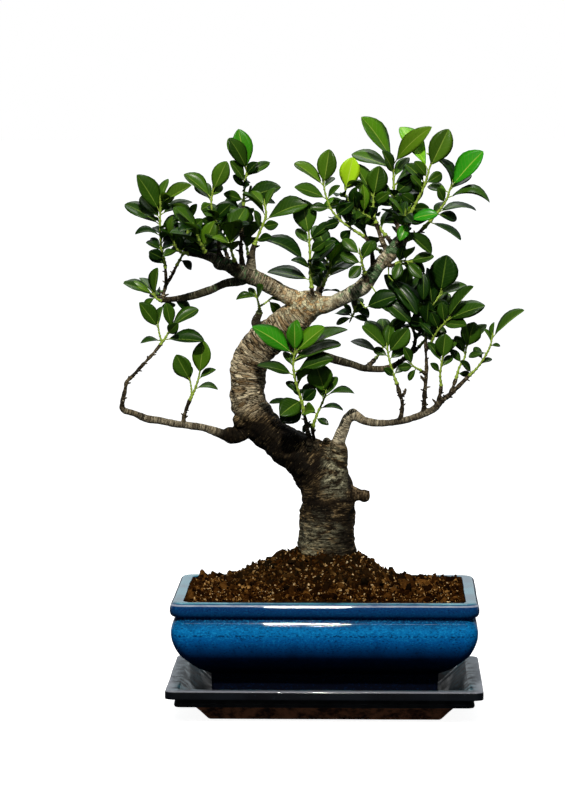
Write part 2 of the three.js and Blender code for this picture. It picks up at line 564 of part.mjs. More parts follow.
// Closed solid from a list of vertices and triangles
const solid = (vertices, triangles) => {
  const geometry = new THREE.BufferGeometry();
  geometry.setAttribute('position', new THREE.Float32BufferAttribute(vertices.flatMap((v) => [v.x, v.y, v.z]), 3));
  geometry.setIndex(triangles.flat());
  return fromGeometry(geometry);
};

const fromGeometry = (geometry) => {
  const bare = geometry.clone();
  bare.deleteAttribute('normal');
  bare.deleteAttribute('uv');
  const merged = BufferGeometryUtils.mergeVertices(bare, 1e-4);
  const mesh = new wasm.Mesh({
    numProp: 3,
    vertProperties: new Float32Array(merged.attributes.position.array),
    triVerts: new Uint32Array(merged.index.array),
  });
  return new wasm.Manifold(mesh);
};

const toMesh = (name, body, material) => {
  const data = body.getMesh();
  const geometry = new THREE.BufferGeometry();
  geometry.setAttribute('position', new THREE.BufferAttribute(new Float32Array(data.vertProperties), 3));
  geometry.setIndex(new THREE.BufferAttribute(new Uint32Array(data.triVerts), 1));
  geometry.computeVertexNormals();
  const mesh = new THREE.Mesh(geometry, material);
  mesh.name = name;
  return mesh;
};

// Stack of rings with the same number of points, closed at both ends by a fan
const loft = (rings) => {
  const count = rings[0].length;
  const vertices = rings.flat();
  const triangles = [];
  for (let ring = 0; ring + 1 < rings.length; ring++) {
    for (let i = 0; i < count; i++) {
      const next = (i + 1) % count;
      const [a, b] = [ring * count + i, ring * count + next];
      const [c, d] = [a + count, b + count];
      triangles.push([a, b, d], [a, d, c]);
    }
  }
  for (const [ring, turned] of [[0, true], [rings.length - 1, false]]) {
    const centre = vertices.length;
    const sum = new THREE.Vector3();
    rings[ring].forEach((point) => sum.add(point));
    vertices.push(sum.divideScalar(count));
    for (let i = 0; i < count; i++) {
      const [a, b] = [ring * count + i, ring * count + ((i + 1) % count)];
      triangles.push(turned ? [b, a, centre] : [a, b, centre]);
    }
  }
  return solid(vertices, triangles);
};

// Rectangle with round corners, at one height, anticlockwise from above
const roundRectangle = ([halfWidth, halfDepth], corner, height) => {
  const steps = 2;
  const points = [];
  for (const [sx, sy, start] of [[1, 1, 0], [-1, 1, 1], [-1, -1, 2], [1, -1, 3]]) {
    for (let i = 0; i <= steps; i++) {
      const angle = (start + i / steps) * Math.PI / 2;
      points.push(new THREE.Vector3(
        sx * (halfWidth - corner) + corner * Math.cos(angle),
        sy * (halfDepth - corner) + corner * Math.sin(angle),
        height,
      ));
    }
  }
  return points;
};

// Dish from a section: the outside goes up, the inside comes down and ends on the floor
const sectionRings = (half, corner, section, shrink = 0) => section.map(([inset, height]) => {
  const inward = inset + shrink;
  return roundRectangle([half[0] - inward, half[1] - inward], Math.max(corner - inward * 0.25, 2.5), height);
});

const dish = (half, corner, outside, inside) => loft([
  ...sectionRings(half, corner, outside), ...sectionRings(half, corner, inside),
]);

const block = (halfX, halfY, low, high, x = 0, y = 0) => {
  const geometry = new THREE.BoxGeometry(2 * halfX, 2 * halfY, high - low);
  geometry.translate(x, y, (low + high) / 2);
  return fromGeometry(geometry);
};

// Tray
const makeTray = () => dish(TRAY_HALF, TRAY_CORNER, TRAY_OUTSIDE, TRAY_INSIDE);

// Pot, with a foot under each corner of its plinth and two drain holes
const makePot = () => {
  let pot = dish(POT_HALF, POT_CORNER, POT_OUTSIDE, POT_INSIDE);
  const reach = POT_OUTSIDE[0][0] + 1;
  for (const [sx, sy] of [[1, 1], [-1, 1], [-1, -1], [1, -1]]) {
    const x = sx * (POT_HALF[0] - reach - FOOT_HALF[0]);
    const y = sy * (POT_HALF[1] - reach - FOOT_HALF[1]);
    pot = pot.add(block(...FOOT_HALF, TRAY_FLOOR + GAP, PLINTH_BOTTOM + 2, x, y));
  }
  for (const x of [-DRAIN_X, DRAIN_X]) {
    const hole = new THREE.CylinderGeometry(DRAIN_RADIUS, DRAIN_RADIUS, 2 * POT_FLOOR, DRAIN_SIDES);
    hole.rotateX(Math.PI / 2);
    hole.translate(x, 0, PLINTH_BOTTOM);
    pot = pot.subtract(fromGeometry(hole));
  }
  return pot;
};

// Mesh square over a drain hole
const makeDrainMesh = (x) => {
  const low = POT_FLOOR + GAP;
  const pitch = 2 * MESH_HALF / (MESH_HOLES + 0.5);
  const side = pitch * MESH_OPEN / 2;
  let plate = block(MESH_HALF, MESH_HALF, low, low + MESH_THICK, x);
  for (let i = 0; i < MESH_HOLES; i++) {
    for (let j = 0; j < MESH_HOLES; j++) {
      const [dx, dy] = [i, j].map((n) => (n - (MESH_HOLES - 1) / 2) * pitch);
      plate = plate.subtract(block(side, side, low - 1, low + MESH_THICK + 1, x + dx, dy));
    }
  }
  return plate;
};

// Height of the soil: level at the walls, a mound round the trunk, and small unevenness
const soilHeight = (x, y) => {
  const wide = x < 0 ? MOUND_LEFT : MOUND_RIGHT;
  const mound = MOUND_HEIGHT * Math.exp(-((x / wide) ** 2) - (y / MOUND_DEEP) ** 2);
  const uneven = Math.sin(x * 0.31 + y * 0.17) + Math.sin(x * 0.13 - y * 0.37 + 2) + Math.sin(x * 0.55 + y * 0.49);
  return SOIL_LEVEL + mound + 0.6 * uneven;
};

// Everything under the soil's surface: a grid of heights down to a flat bottom
const soilBlock = ([halfX, halfY], bottom) => {
  const [columns, rows] = SOIL_CELLS;
  const stride = columns + 1;
  const vertices = [];
  const triangles = [];
  for (const top of [false, true]) {
    for (let j = 0; j <= rows; j++) {
      for (let i = 0; i <= columns; i++) {
        const x = halfX * (2 * i / columns - 1);
        const y = halfY * (2 * j / rows - 1);
        vertices.push(new THREE.Vector3(x, y, top ? soilHeight(x, y) : bottom));
      }
    }
  }
  const upper = stride * (rows + 1);
  for (let j = 0; j < rows; j++) {
    for (let i = 0; i < columns; i++) {
      const a = j * stride + i;
      const [b, c, d] = [a + 1, a + stride, a + stride + 1];
      triangles.push([upper + a, upper + b, upper + d], [upper + a, upper + d, upper + c], [a, d, b], [a, c, d]);
    }
  }
  const wall = (a, b) => triangles.push([a, b, upper + b], [a, upper + b, upper + a]);
  for (let i = 0; i < columns; i++) {
    wall(i, i + 1);
    wall(rows * stride + i + 1, rows * stride + i);
  }
  for (let j = 0; j < rows; j++) {
    wall((j + 1) * stride, j * stride);
    wall(j * stride + columns, (j + 1) * stride + columns);
  }
  return solid(vertices, triangles);
};

// Soil fills the pot, with a plain hole for the trunk and a pocket over each mesh square
const makeSoil = () => {
  const walls = POT_INSIDE.slice(1).reverse();
  const top = SOIL_LEVEL + 2 * MOUND_HEIGHT;
  const fill = [[walls[0][0], POT_FLOOR + GAP], ...walls.slice(1), [POT_INSIDE[1][0], top]];
  const inside = loft(sectionRings(POT_HALF, POT_CORNER, fill, GAP));
  let soil = inside.intersect(soilBlock([POT_HALF[0] - 5, POT_HALF[1] - 5], POT_FLOOR - 5));
  soil = soil.subtract(tube(pathOf(TRUNK), TRUNK_TUBE, 0, TRUNK_IN_SOIL, GAP));
  for (const x of [-DRAIN_X, DRAIN_X]) {
    const side = MESH_HALF + GAP;
    soil = soil.subtract(block(side, side, POT_FLOOR - 1, POT_FLOOR + 2 * GAP + MESH_THICK, x));
  }
  return soil;
};

// Section of a stem: round, or with the slow swellings of an old trunk
const plainRound = () => 1;
const lobed = (angle, t) => (
  1 + 0.035 * Math.cos(2 * angle + 1.3 + 0.5 * t) + 0.03 * Math.cos(3 * angle - 0.7 * t)
  + 0.018 * Math.cos(5 * angle + 1.9 * t)
);
const TRUNK_TUBE = { sides: 12, steps: 1, swell: lobed };
const LIMB_TUBE = { sides: 6, steps: 1, swell: plainRound };
const TWIG_TUBE = { sides: 4, steps: 1, swell: plainRound };
const STEM_TUBE = { sides: 4, steps: 1, swell: plainRound };

// Tube along a path from segment "from" to segment "to", its flat ends square to the path
const tube = (path, { sides, steps, swell }, from = 0, to = path.last, grow = 0, gap = 0) => {
  const reference = new THREE.Vector3(0, -1, 0);
  const along = path.at(to).sub(path.at(from)).normalize();
  if (Math.abs(along.y) > 0.75) reference.set(1, 0, 0);
  const rings = [];
  const count = Math.round((to - from) * steps);
  for (let k = 0; k <= count; k++) {
    const t = from + (to - from) * k / count;
    const direction = path.direction(t);
    const centre = path.at(t);
    if (k === 0) centre.addScaledVector(direction, gap - grow);
    const across = reference.clone().addScaledVector(direction, -reference.dot(direction)).normalize();
    const up = direction.clone().cross(across);
    const ring = [];
    for (let i = 0; i < sides; i++) {
      const angle = 2 * Math.PI * i / sides;
      const radius = (path.radius(t) + grow) * swell(angle, t);
      ring.push(centre.clone()
        .addScaledVector(across, radius * Math.cos(angle))
        .addScaledVector(up, radius * Math.sin(angle)));
    }
    rings.push(ring);
  }
  return loft(rings);
};

// All the wood of the tree, grown as one piece
const tubeFor = (rows) => {
  const thickest = rows[0][3];
  if (thickest > 4.4) return LIMB_TUBE;
  return thickest > 2.5 ? TWIG_TUBE : STEM_TUBE;
};

const makeWood = () => {
  let wood = tube(pathOf(TRUNK), TRUNK_TUBE);
  for (const rows of Object.values(LIMBS)) wood = wood.add(tube(pathOf(rows), tubeFor(rows)));
  for (const { path, green } of Object.values(SHOOTS)) wood = wood.add(tube(pathOf(path), tubeFor(path), 0, green));
  for (const [x, z, y, radius] of KNOBS) {
    const knob = new THREE.IcosahedronGeometry(radius, 1);
    knob.translate(...seen(x, z, y).toArray());
    wood = wood.add(fromGeometry(knob));
  }
  return wood;
};

// Stems of a shoot, clear of the wood's end by the gap
const shootPaths = (shoot) => [pathOf(shoot.path), ...(shoot.side ?? []).map(pathOf)];

const makeStems = (shoot, grow = 0) => {
  const [main, ...sides] = shootPaths(shoot);
  let stems = tube(main, STEM_TUBE, shoot.green, main.last, grow, GAP);
  for (const side of sides) stems = stems.add(tube(side, STEM_TUBE, 0, side.last, grow));
  return stems;
};

// Point of a shoot's green stems that lies nearest to a place given as it shows from the front
const STEM_SAMPLES = 12;
const STEM_END = 0.15;
const nearestOnStems = (shoot, x, z) => {
  let best = null;
  shootPaths(shoot).forEach((path, index) => {
    const start = index === 0 ? shoot.green + 0.25 : 0.25;
    const stretch = path.last - STEM_END - start;
    const count = Math.round(stretch * STEM_SAMPLES);
    for (let k = 0; k <= count; k++) {
      const t = start + stretch * k / count;
      const point = path.at(t);
      const distance = point.distanceTo(seen(x, z, point.y));
      if (!best || distance < best.distance) best = { point, distance, radius: path.radius(t) };
    }
  });
  return best;
};

// A leaf's stalk starts just under the skin of its stem, on the side to which the leaf points
const ROOT_DEPTH = 0.2;
const onSkin = (point, tip, radius) => point.addScaledVector(tip.clone().sub(point).normalize(), radius * ROOT_DEPTH);

// A leaf as listed, with its tip moved in depth by "bend"
const listedLeaf = (shoot, [baseX, baseZ, tipX, tipZ, depth, width, arch = ARCH], bend) => {
  const { point, radius } = nearestOnStems(shoot, baseX, baseZ);
  const tip = seen(tipX, tipZ, point.y + depth + bend);
  const base = onSkin(point, tip, radius);
  const direction = tip.clone().sub(base).normalize();
  const whole = Math.max(width, BLADE_SLIM * tip.distanceTo(base));
  const roll = Math.acos(Math.min(width / whole, 1));
  const facing = new THREE.Vector3(0, -1, 0).addScaledVector(direction, direction.y).normalize();
  const across = direction.clone().cross(facing);
  if (across.z < 0) across.negate();
  const normal = facing.multiplyScalar(Math.cos(roll)).addScaledVector(across, Math.sin(roll));
  return { base, tip, normal, width: whole, arch };
};

// A leaf by rule: turned round the stem from the one before, facing up and outwards
const ruledLeaf = (shoot, index, count, length, chance, turn) => {
  const path = pathOf(shoot.path);
  const share = (index + FILL_PHASE) / count;
  const t = shoot.green + (path.last - shoot.green) * (FILL_STRETCH[0] + FILL_STRETCH[1] * share);
  const angle = index * FILL_TURN + 2 * Math.PI * chance[0] + turn;
  const rise = FILL_RISE[0] + FILL_RISE[1] * share + FILL_RISE[2] * chance[1];
  const direction = new THREE.Vector3(
    FILL_SPREAD * Math.cos(angle), Math.sin(angle), rise,
  ).normalize();
  const reach = length * (FILL_REACH[0] + FILL_REACH[1] * chance[2]);
  const tip = path.at(t).addScaledVector(direction, reach);
  const base = onSkin(path.at(t), tip, path.radius(t));
  const [lean, forward, upward] = FILL_FACING;
  const normal = new THREE.Vector3(lean * Math.cos(angle), forward, upward);
  normal.addScaledVector(direction, -normal.dot(direction)).normalize();
  return { base, tip, normal, width: reach * (BLADE_SLIM + FILL_WIDER * chance[0]), arch: ARCH };
};

// Blade: a stalk that widens into an oval with a short point, arched along its length
const blade = ({ base, tip, normal, width, arch }, grow = 0) => {
  const axis = tip.clone().sub(base);
  const length = axis.length();
  axis.normalize();
  const across = axis.clone().cross(normal);
  const place = (along, side, level) => {
    const lift = arch * length * 4 * along * (1 - along) + level;
    return base.clone()
      .addScaledVector(axis, along * length).addScaledVector(across, side).addScaledVector(normal, lift);
  };
  const stations = (width < LARGE_WIDTH ? SMALL_OUTLINE : LARGE_OUTLINE)
    .map(([along, share]) => [along, share * width / 2 + grow]);
  const left = stations.map(([along, side]) => [along, -side]).reverse();
  const round = [[0, 0], ...stations, [1 + grow / length, 0], ...left];
  const count = round.length;
  const half = BLADE_THICK / 2 + grow;
  const vertices = [half, -half].flatMap((level) => round.map(([along, side]) => place(along, side, level)));
  const triangles = [];
  const bothFaces = (a, b, c) => triangles.push([a, b, c], [count + a, count + c, count + b]);
  for (let i = 1; i < stations.length + 1; i++) {
    const mirrored = count - i;
    bothFaces(i, mirrored - 1, mirrored);
    if (i < stations.length) bothFaces(i, i + 1, mirrored - 1);
  }
  bothFaces(0, 1, count - 1);
  for (let i = 0; i < count; i++) {
    const next = (i + 1) % count;
    triangles.push([count + i, count + next, next], [count + i, next, i]);
  }
  return solid(vertices, triangles);
};

// Ways to bend a leaf that would cross another piece, in the order in which they are tried
const BENDS = [0, -6, 6, -12, 12, -18, 18];
const TURNS = [0, 0.45, -0.45, 0.9, -0.9, 1.4, -1.4];

const candidates = (shoot, order) => {
  const chances = dice(order * 7919 + 17);
  const leaves = (shoot.leaves ?? []).map((row) => BENDS.map((bend) => listedLeaf(shoot, row, bend)));
  const [count, length] = shoot.fill ?? [0, 0];
  for (let i = 0; i < count; i++) {
    const chance = [chances(), chances(), chances()];
    leaves.push(TURNS.map((turn) => ruledLeaf(shoot, i, count, length, chance, turn)));
  }
  return leaves;
};

// Solids that a leaf must keep clear of, with the boxes that they fill
const withBox = (owner, body) => {
  const { min, max } = body.boundingBox();
  return { owner, body, box: new THREE.Box3(new THREE.Vector3(...min), new THREE.Vector3(...max)) };
};

const crosses = (one, other) => one.box.intersectsBox(other.box) && one.body.intersect(other.body).volume() > 0;

// The part of a leaf beyond its stalk, which keeps clear of the other leaves of its spray too
const STALK_SHARE = 0.32;
const beyondStalk = (leaf) => ({ ...leaf, base: leaf.base.clone().lerp(leaf.tip, STALK_SHARE) });

// Every spray: the stems first, then each leaf in the first of its ways that is clear of all else
const makeSprays = (others) => {
  const names = Object.keys(SHOOTS);
  const sprays = names.map((name) => makeStems(SHOOTS[name]));
  const stems = names.map((name, i) => withBox(name, makeStems(SHOOTS[name], GAP / 2)));
  const fixed = [...others.map((body) => withBox('', body)), ...stems];
  const blades = [];
  names.forEach((name, order) => {
    for (const ways of candidates(SHOOTS[name], order)) {
      const clear = ways.find((leaf) => {
        const wide = withBox(name, blade(leaf, GAP));
        const outer = withBox(name, blade(beyondStalk(leaf), GAP));
        return !fixed.some((piece) => piece.owner !== name && crosses(wide, piece))
          && !blades.some((piece) => crosses(piece.owner === name ? outer : wide, piece));
      });
      if (!clear) continue;
      const body = blade(clear);
      sprays[order] = sprays[order].add(body);
      blades.push(withBox(name, body));
    }
  });
  return names.map((name, i) => [name, sprays[i]]);
};

// Materials
const finish = (color, roughness) => new THREE.MeshStandardMaterial({ color, roughness, metalness: 0 });
const trayGlaze = finish(0x17202a, 0.18);
const potGlaze = finish(0x1d62a8, 0.12);
const meshPlastic = finish(0x20242a, 0.5);
const soilCrumbs = finish(0x4a2c18, 0.95);
const bark = finish(0x9a8468, 0.85);
const leafGreen = finish(0x2f6b22, 0.4);

// Assembly
const bonsai = new THREE.Group();
const wood = makeWood();
const pot = makePot();
const soil = makeSoil();
bonsai.add(toMesh('tray', makeTray(), trayGlaze));
bonsai.add(toMesh('pot', pot, potGlaze));
bonsai.add(toMesh('drain_mesh_left', makeDrainMesh(-DRAIN_X), meshPlastic));
bonsai.add(toMesh('drain_mesh_right', makeDrainMesh(DRAIN_X), meshPlastic));
bonsai.add(toMesh('soil', soil, soilCrumbs));
bonsai.add(toMesh('wood', wood, bark));
for (const [name, body] of makeSprays([wood, pot, soil])) {
  bonsai.add(toMesh(`spray_${name}`, body, leafGreen));
}

export default bonsai;
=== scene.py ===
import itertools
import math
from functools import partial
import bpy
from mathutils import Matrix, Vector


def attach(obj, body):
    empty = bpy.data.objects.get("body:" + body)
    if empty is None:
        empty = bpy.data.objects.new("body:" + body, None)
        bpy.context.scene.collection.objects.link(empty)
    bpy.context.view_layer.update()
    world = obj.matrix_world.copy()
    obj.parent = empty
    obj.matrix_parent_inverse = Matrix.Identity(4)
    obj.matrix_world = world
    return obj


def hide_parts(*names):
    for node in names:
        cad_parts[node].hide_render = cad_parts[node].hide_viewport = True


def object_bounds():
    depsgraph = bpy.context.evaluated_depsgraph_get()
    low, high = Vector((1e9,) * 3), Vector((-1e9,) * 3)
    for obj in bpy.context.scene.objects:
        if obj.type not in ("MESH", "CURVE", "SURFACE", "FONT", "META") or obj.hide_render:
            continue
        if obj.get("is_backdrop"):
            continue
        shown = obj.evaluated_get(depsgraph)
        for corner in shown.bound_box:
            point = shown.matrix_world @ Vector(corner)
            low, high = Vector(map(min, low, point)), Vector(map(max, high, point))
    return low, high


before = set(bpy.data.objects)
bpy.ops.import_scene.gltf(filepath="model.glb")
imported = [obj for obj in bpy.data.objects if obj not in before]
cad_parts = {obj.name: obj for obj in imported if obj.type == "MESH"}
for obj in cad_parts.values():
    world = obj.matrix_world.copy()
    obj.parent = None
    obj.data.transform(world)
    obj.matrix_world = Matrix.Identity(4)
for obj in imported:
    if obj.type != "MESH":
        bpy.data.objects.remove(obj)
cad_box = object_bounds()

# A fig grown as a bonsai in a blue glazed pot, which stands on a dark stepped drip tray. The
# solids of the frame give the places of most leaves. The paths of the wood and of the green stems
# are the same lists of points as theirs, in millimetres, and MM makes them metres.

from types import SimpleNamespace

import bmesh
import bpy
import numpy as np
from mathutils import Vector, noise

MM = 0.001

# Clearance between pieces that stand in one another
GAP = 0.3

# Tray and pot: half sizes of the rim, corner radius, and sections as (inset, height)
TRAY_HALF = (124.5, 97)
TRAY_CORNER = 7
TRAY_FLOOR = 9
TRAY_OUTSIDE = [
    (33, 0), (32, 0.8), (20, 12.6), (7.5, 13.2), (7.2, 19.8), (0.9, 20.2), (0, 21.2), (0, 25.8),
    (1, 27),
]
TRAY_INSIDE = [(9.5, 27), (11, 26), (13, 24), (19, 18.5), (27, 12.5), (32, TRAY_FLOOR)]
POT_HALF = (121, 92.5)
POT_CORNER = 10
POT_FLOOR = 19.5
PLINTH_BOTTOM = 12.4
POT_OUTSIDE = [
    (32, PLINTH_BOTTOM), (31.4, 33), (30, 36.6), (21.5, 40.8), (12.4, 48), (7.4, 52.8), (3.8, 59),
    (1.4, 65.8), (0.9, 72.4), (2.2, 78.6), (4.4, 82.8), (1.4, 84.8), (0, 88), (0.4, 92.4), (2.4, 95),
    (5, 95.6),
]
POT_INSIDE = [
    (9.6, 95.2), (10.4, 93.6), (9.6, 74), (12.2, 59), (20.6, 51.4), (39, 42), (39.4, POT_FLOOR),
]
FOOT_HALF = (15, 12)
FOOT_CORNER = 3
FOOT_OVERLAP = 2
DRAIN_RADIUS = 7
DRAIN_X = 42
DRAIN_SIDES = 32
CUT_PAST = 3
WALL_UNEVEN = 0.35

# Soil: level at the walls, mound round the trunk
SOIL_LEVEL = 94.4
MOUND_HEIGHT = 37
MOUND_LEFT = 68
MOUND_RIGHT = 50
MOUND_DEEP = 46
SOIL_WAVES = 0.6
SOIL_LUMPS = 1.1

# Blades of the solids: thickness, least width of a large one, greatest length, and the edge
# points of both kinds as (share of the length, share of the half width)
BLADE_THICK = 0.9
LARGE_WIDTH = 14.5
LONGEST_LEAF = 60
BLADE_OUTLINES = [
    [(0.34, 0.82), (0.72, 0.92), (1, 0), (0.72, -0.92), (0.34, -0.82)],
    [(0.14, 0.1), (0.4, 0.86), (0.74, 0.92), (1, 0), (0.74, -0.92), (0.4, -0.86), (0.14, -0.1)],
]

# Paths of the wood as rows of (x, z, y, radius), with x and z as they show in the upright plane
# through the trunk
TRUNK = [
    (0, 47, 0, 20), (0, 96, 0, 23), (0, 119, 0, 22.2), (0.8, 143, 0, 21.4), (1.8, 167, 0, 20.9),
    (-0.2, 182, 0, 20.2), (-6.4, 190.5, 1, 19.6), (-14.4, 198.8, 2, 19), (-25.6, 206.6, 3, 17.2),
    (-41.6, 218.2, 5, 15), (-54.4, 230.8, 8, 15.2), (-61.6, 244.4, 11, 14.4),
    (-62.8, 258.8, 12, 13.7), (-61.6, 272.4, 12, 13.8), (-56.8, 284.6, 11, 14.2),
    (-48.6, 294.6, 9, 14.2), (-36.8, 304.4, 6, 12.6), (-22.4, 314.8, 3, 12), (-14.4, 323.4, 1, 11),
]

LIMBS = {
    "right": [
        (-16, 321, 1, 8), (-4.8, 322.8, -1, 7.4), (7.2, 326.2, -3, 5.8), (20.8, 332.8, -5, 6.2),
        (29.6, 338.4, -6, 6.2), (36, 346.8, -6, 5.6), (41.6, 354.8, -5, 5.4), (49.6, 362.8, -4, 5.8),
        (55.2, 369.2, -2, 5.6), (59.4, 375, 0, 4.6), (61.5, 381, 1, 3.2),
    ],
    "stump": [(14, 170, -2, 9), (22, 171.5, -3, 6.4), (28, 170.9, -4, 4.7), (34.6, 170.4, -5, 4.5)],
    "trunkKnob": [(-2, 203, -4, 9), (0, 210, -6, 6), (0.6, 214.4, -7, 3.2)],
    "twigOnStub": [(59.4, 250.4, -15.2, 1.7), (62.6, 252.8, -14, 1.2), (63.4, 256, -14, 0.9)],
    "stubOnUpright": [(79.2, 262, -16, 1.3), (75.8, 266.5, -17, 0.9)],
}

# Swellings of the wood as (x, z, y, radius)
KNOBS = [
    (-15.4, 322.8, 0, 12.4), (-50.6, 297, 6, 10.4), (-69, 230.5, 5, 6.4), (-77, 219.6, 4, 6.3),
    (21.6, 235.6, -9, 5), (-84.5, 356.8, -9, 5.8), (30.4, 170.4, -4, 5.3), (57.6, 372.5, -1, 6.3),
]

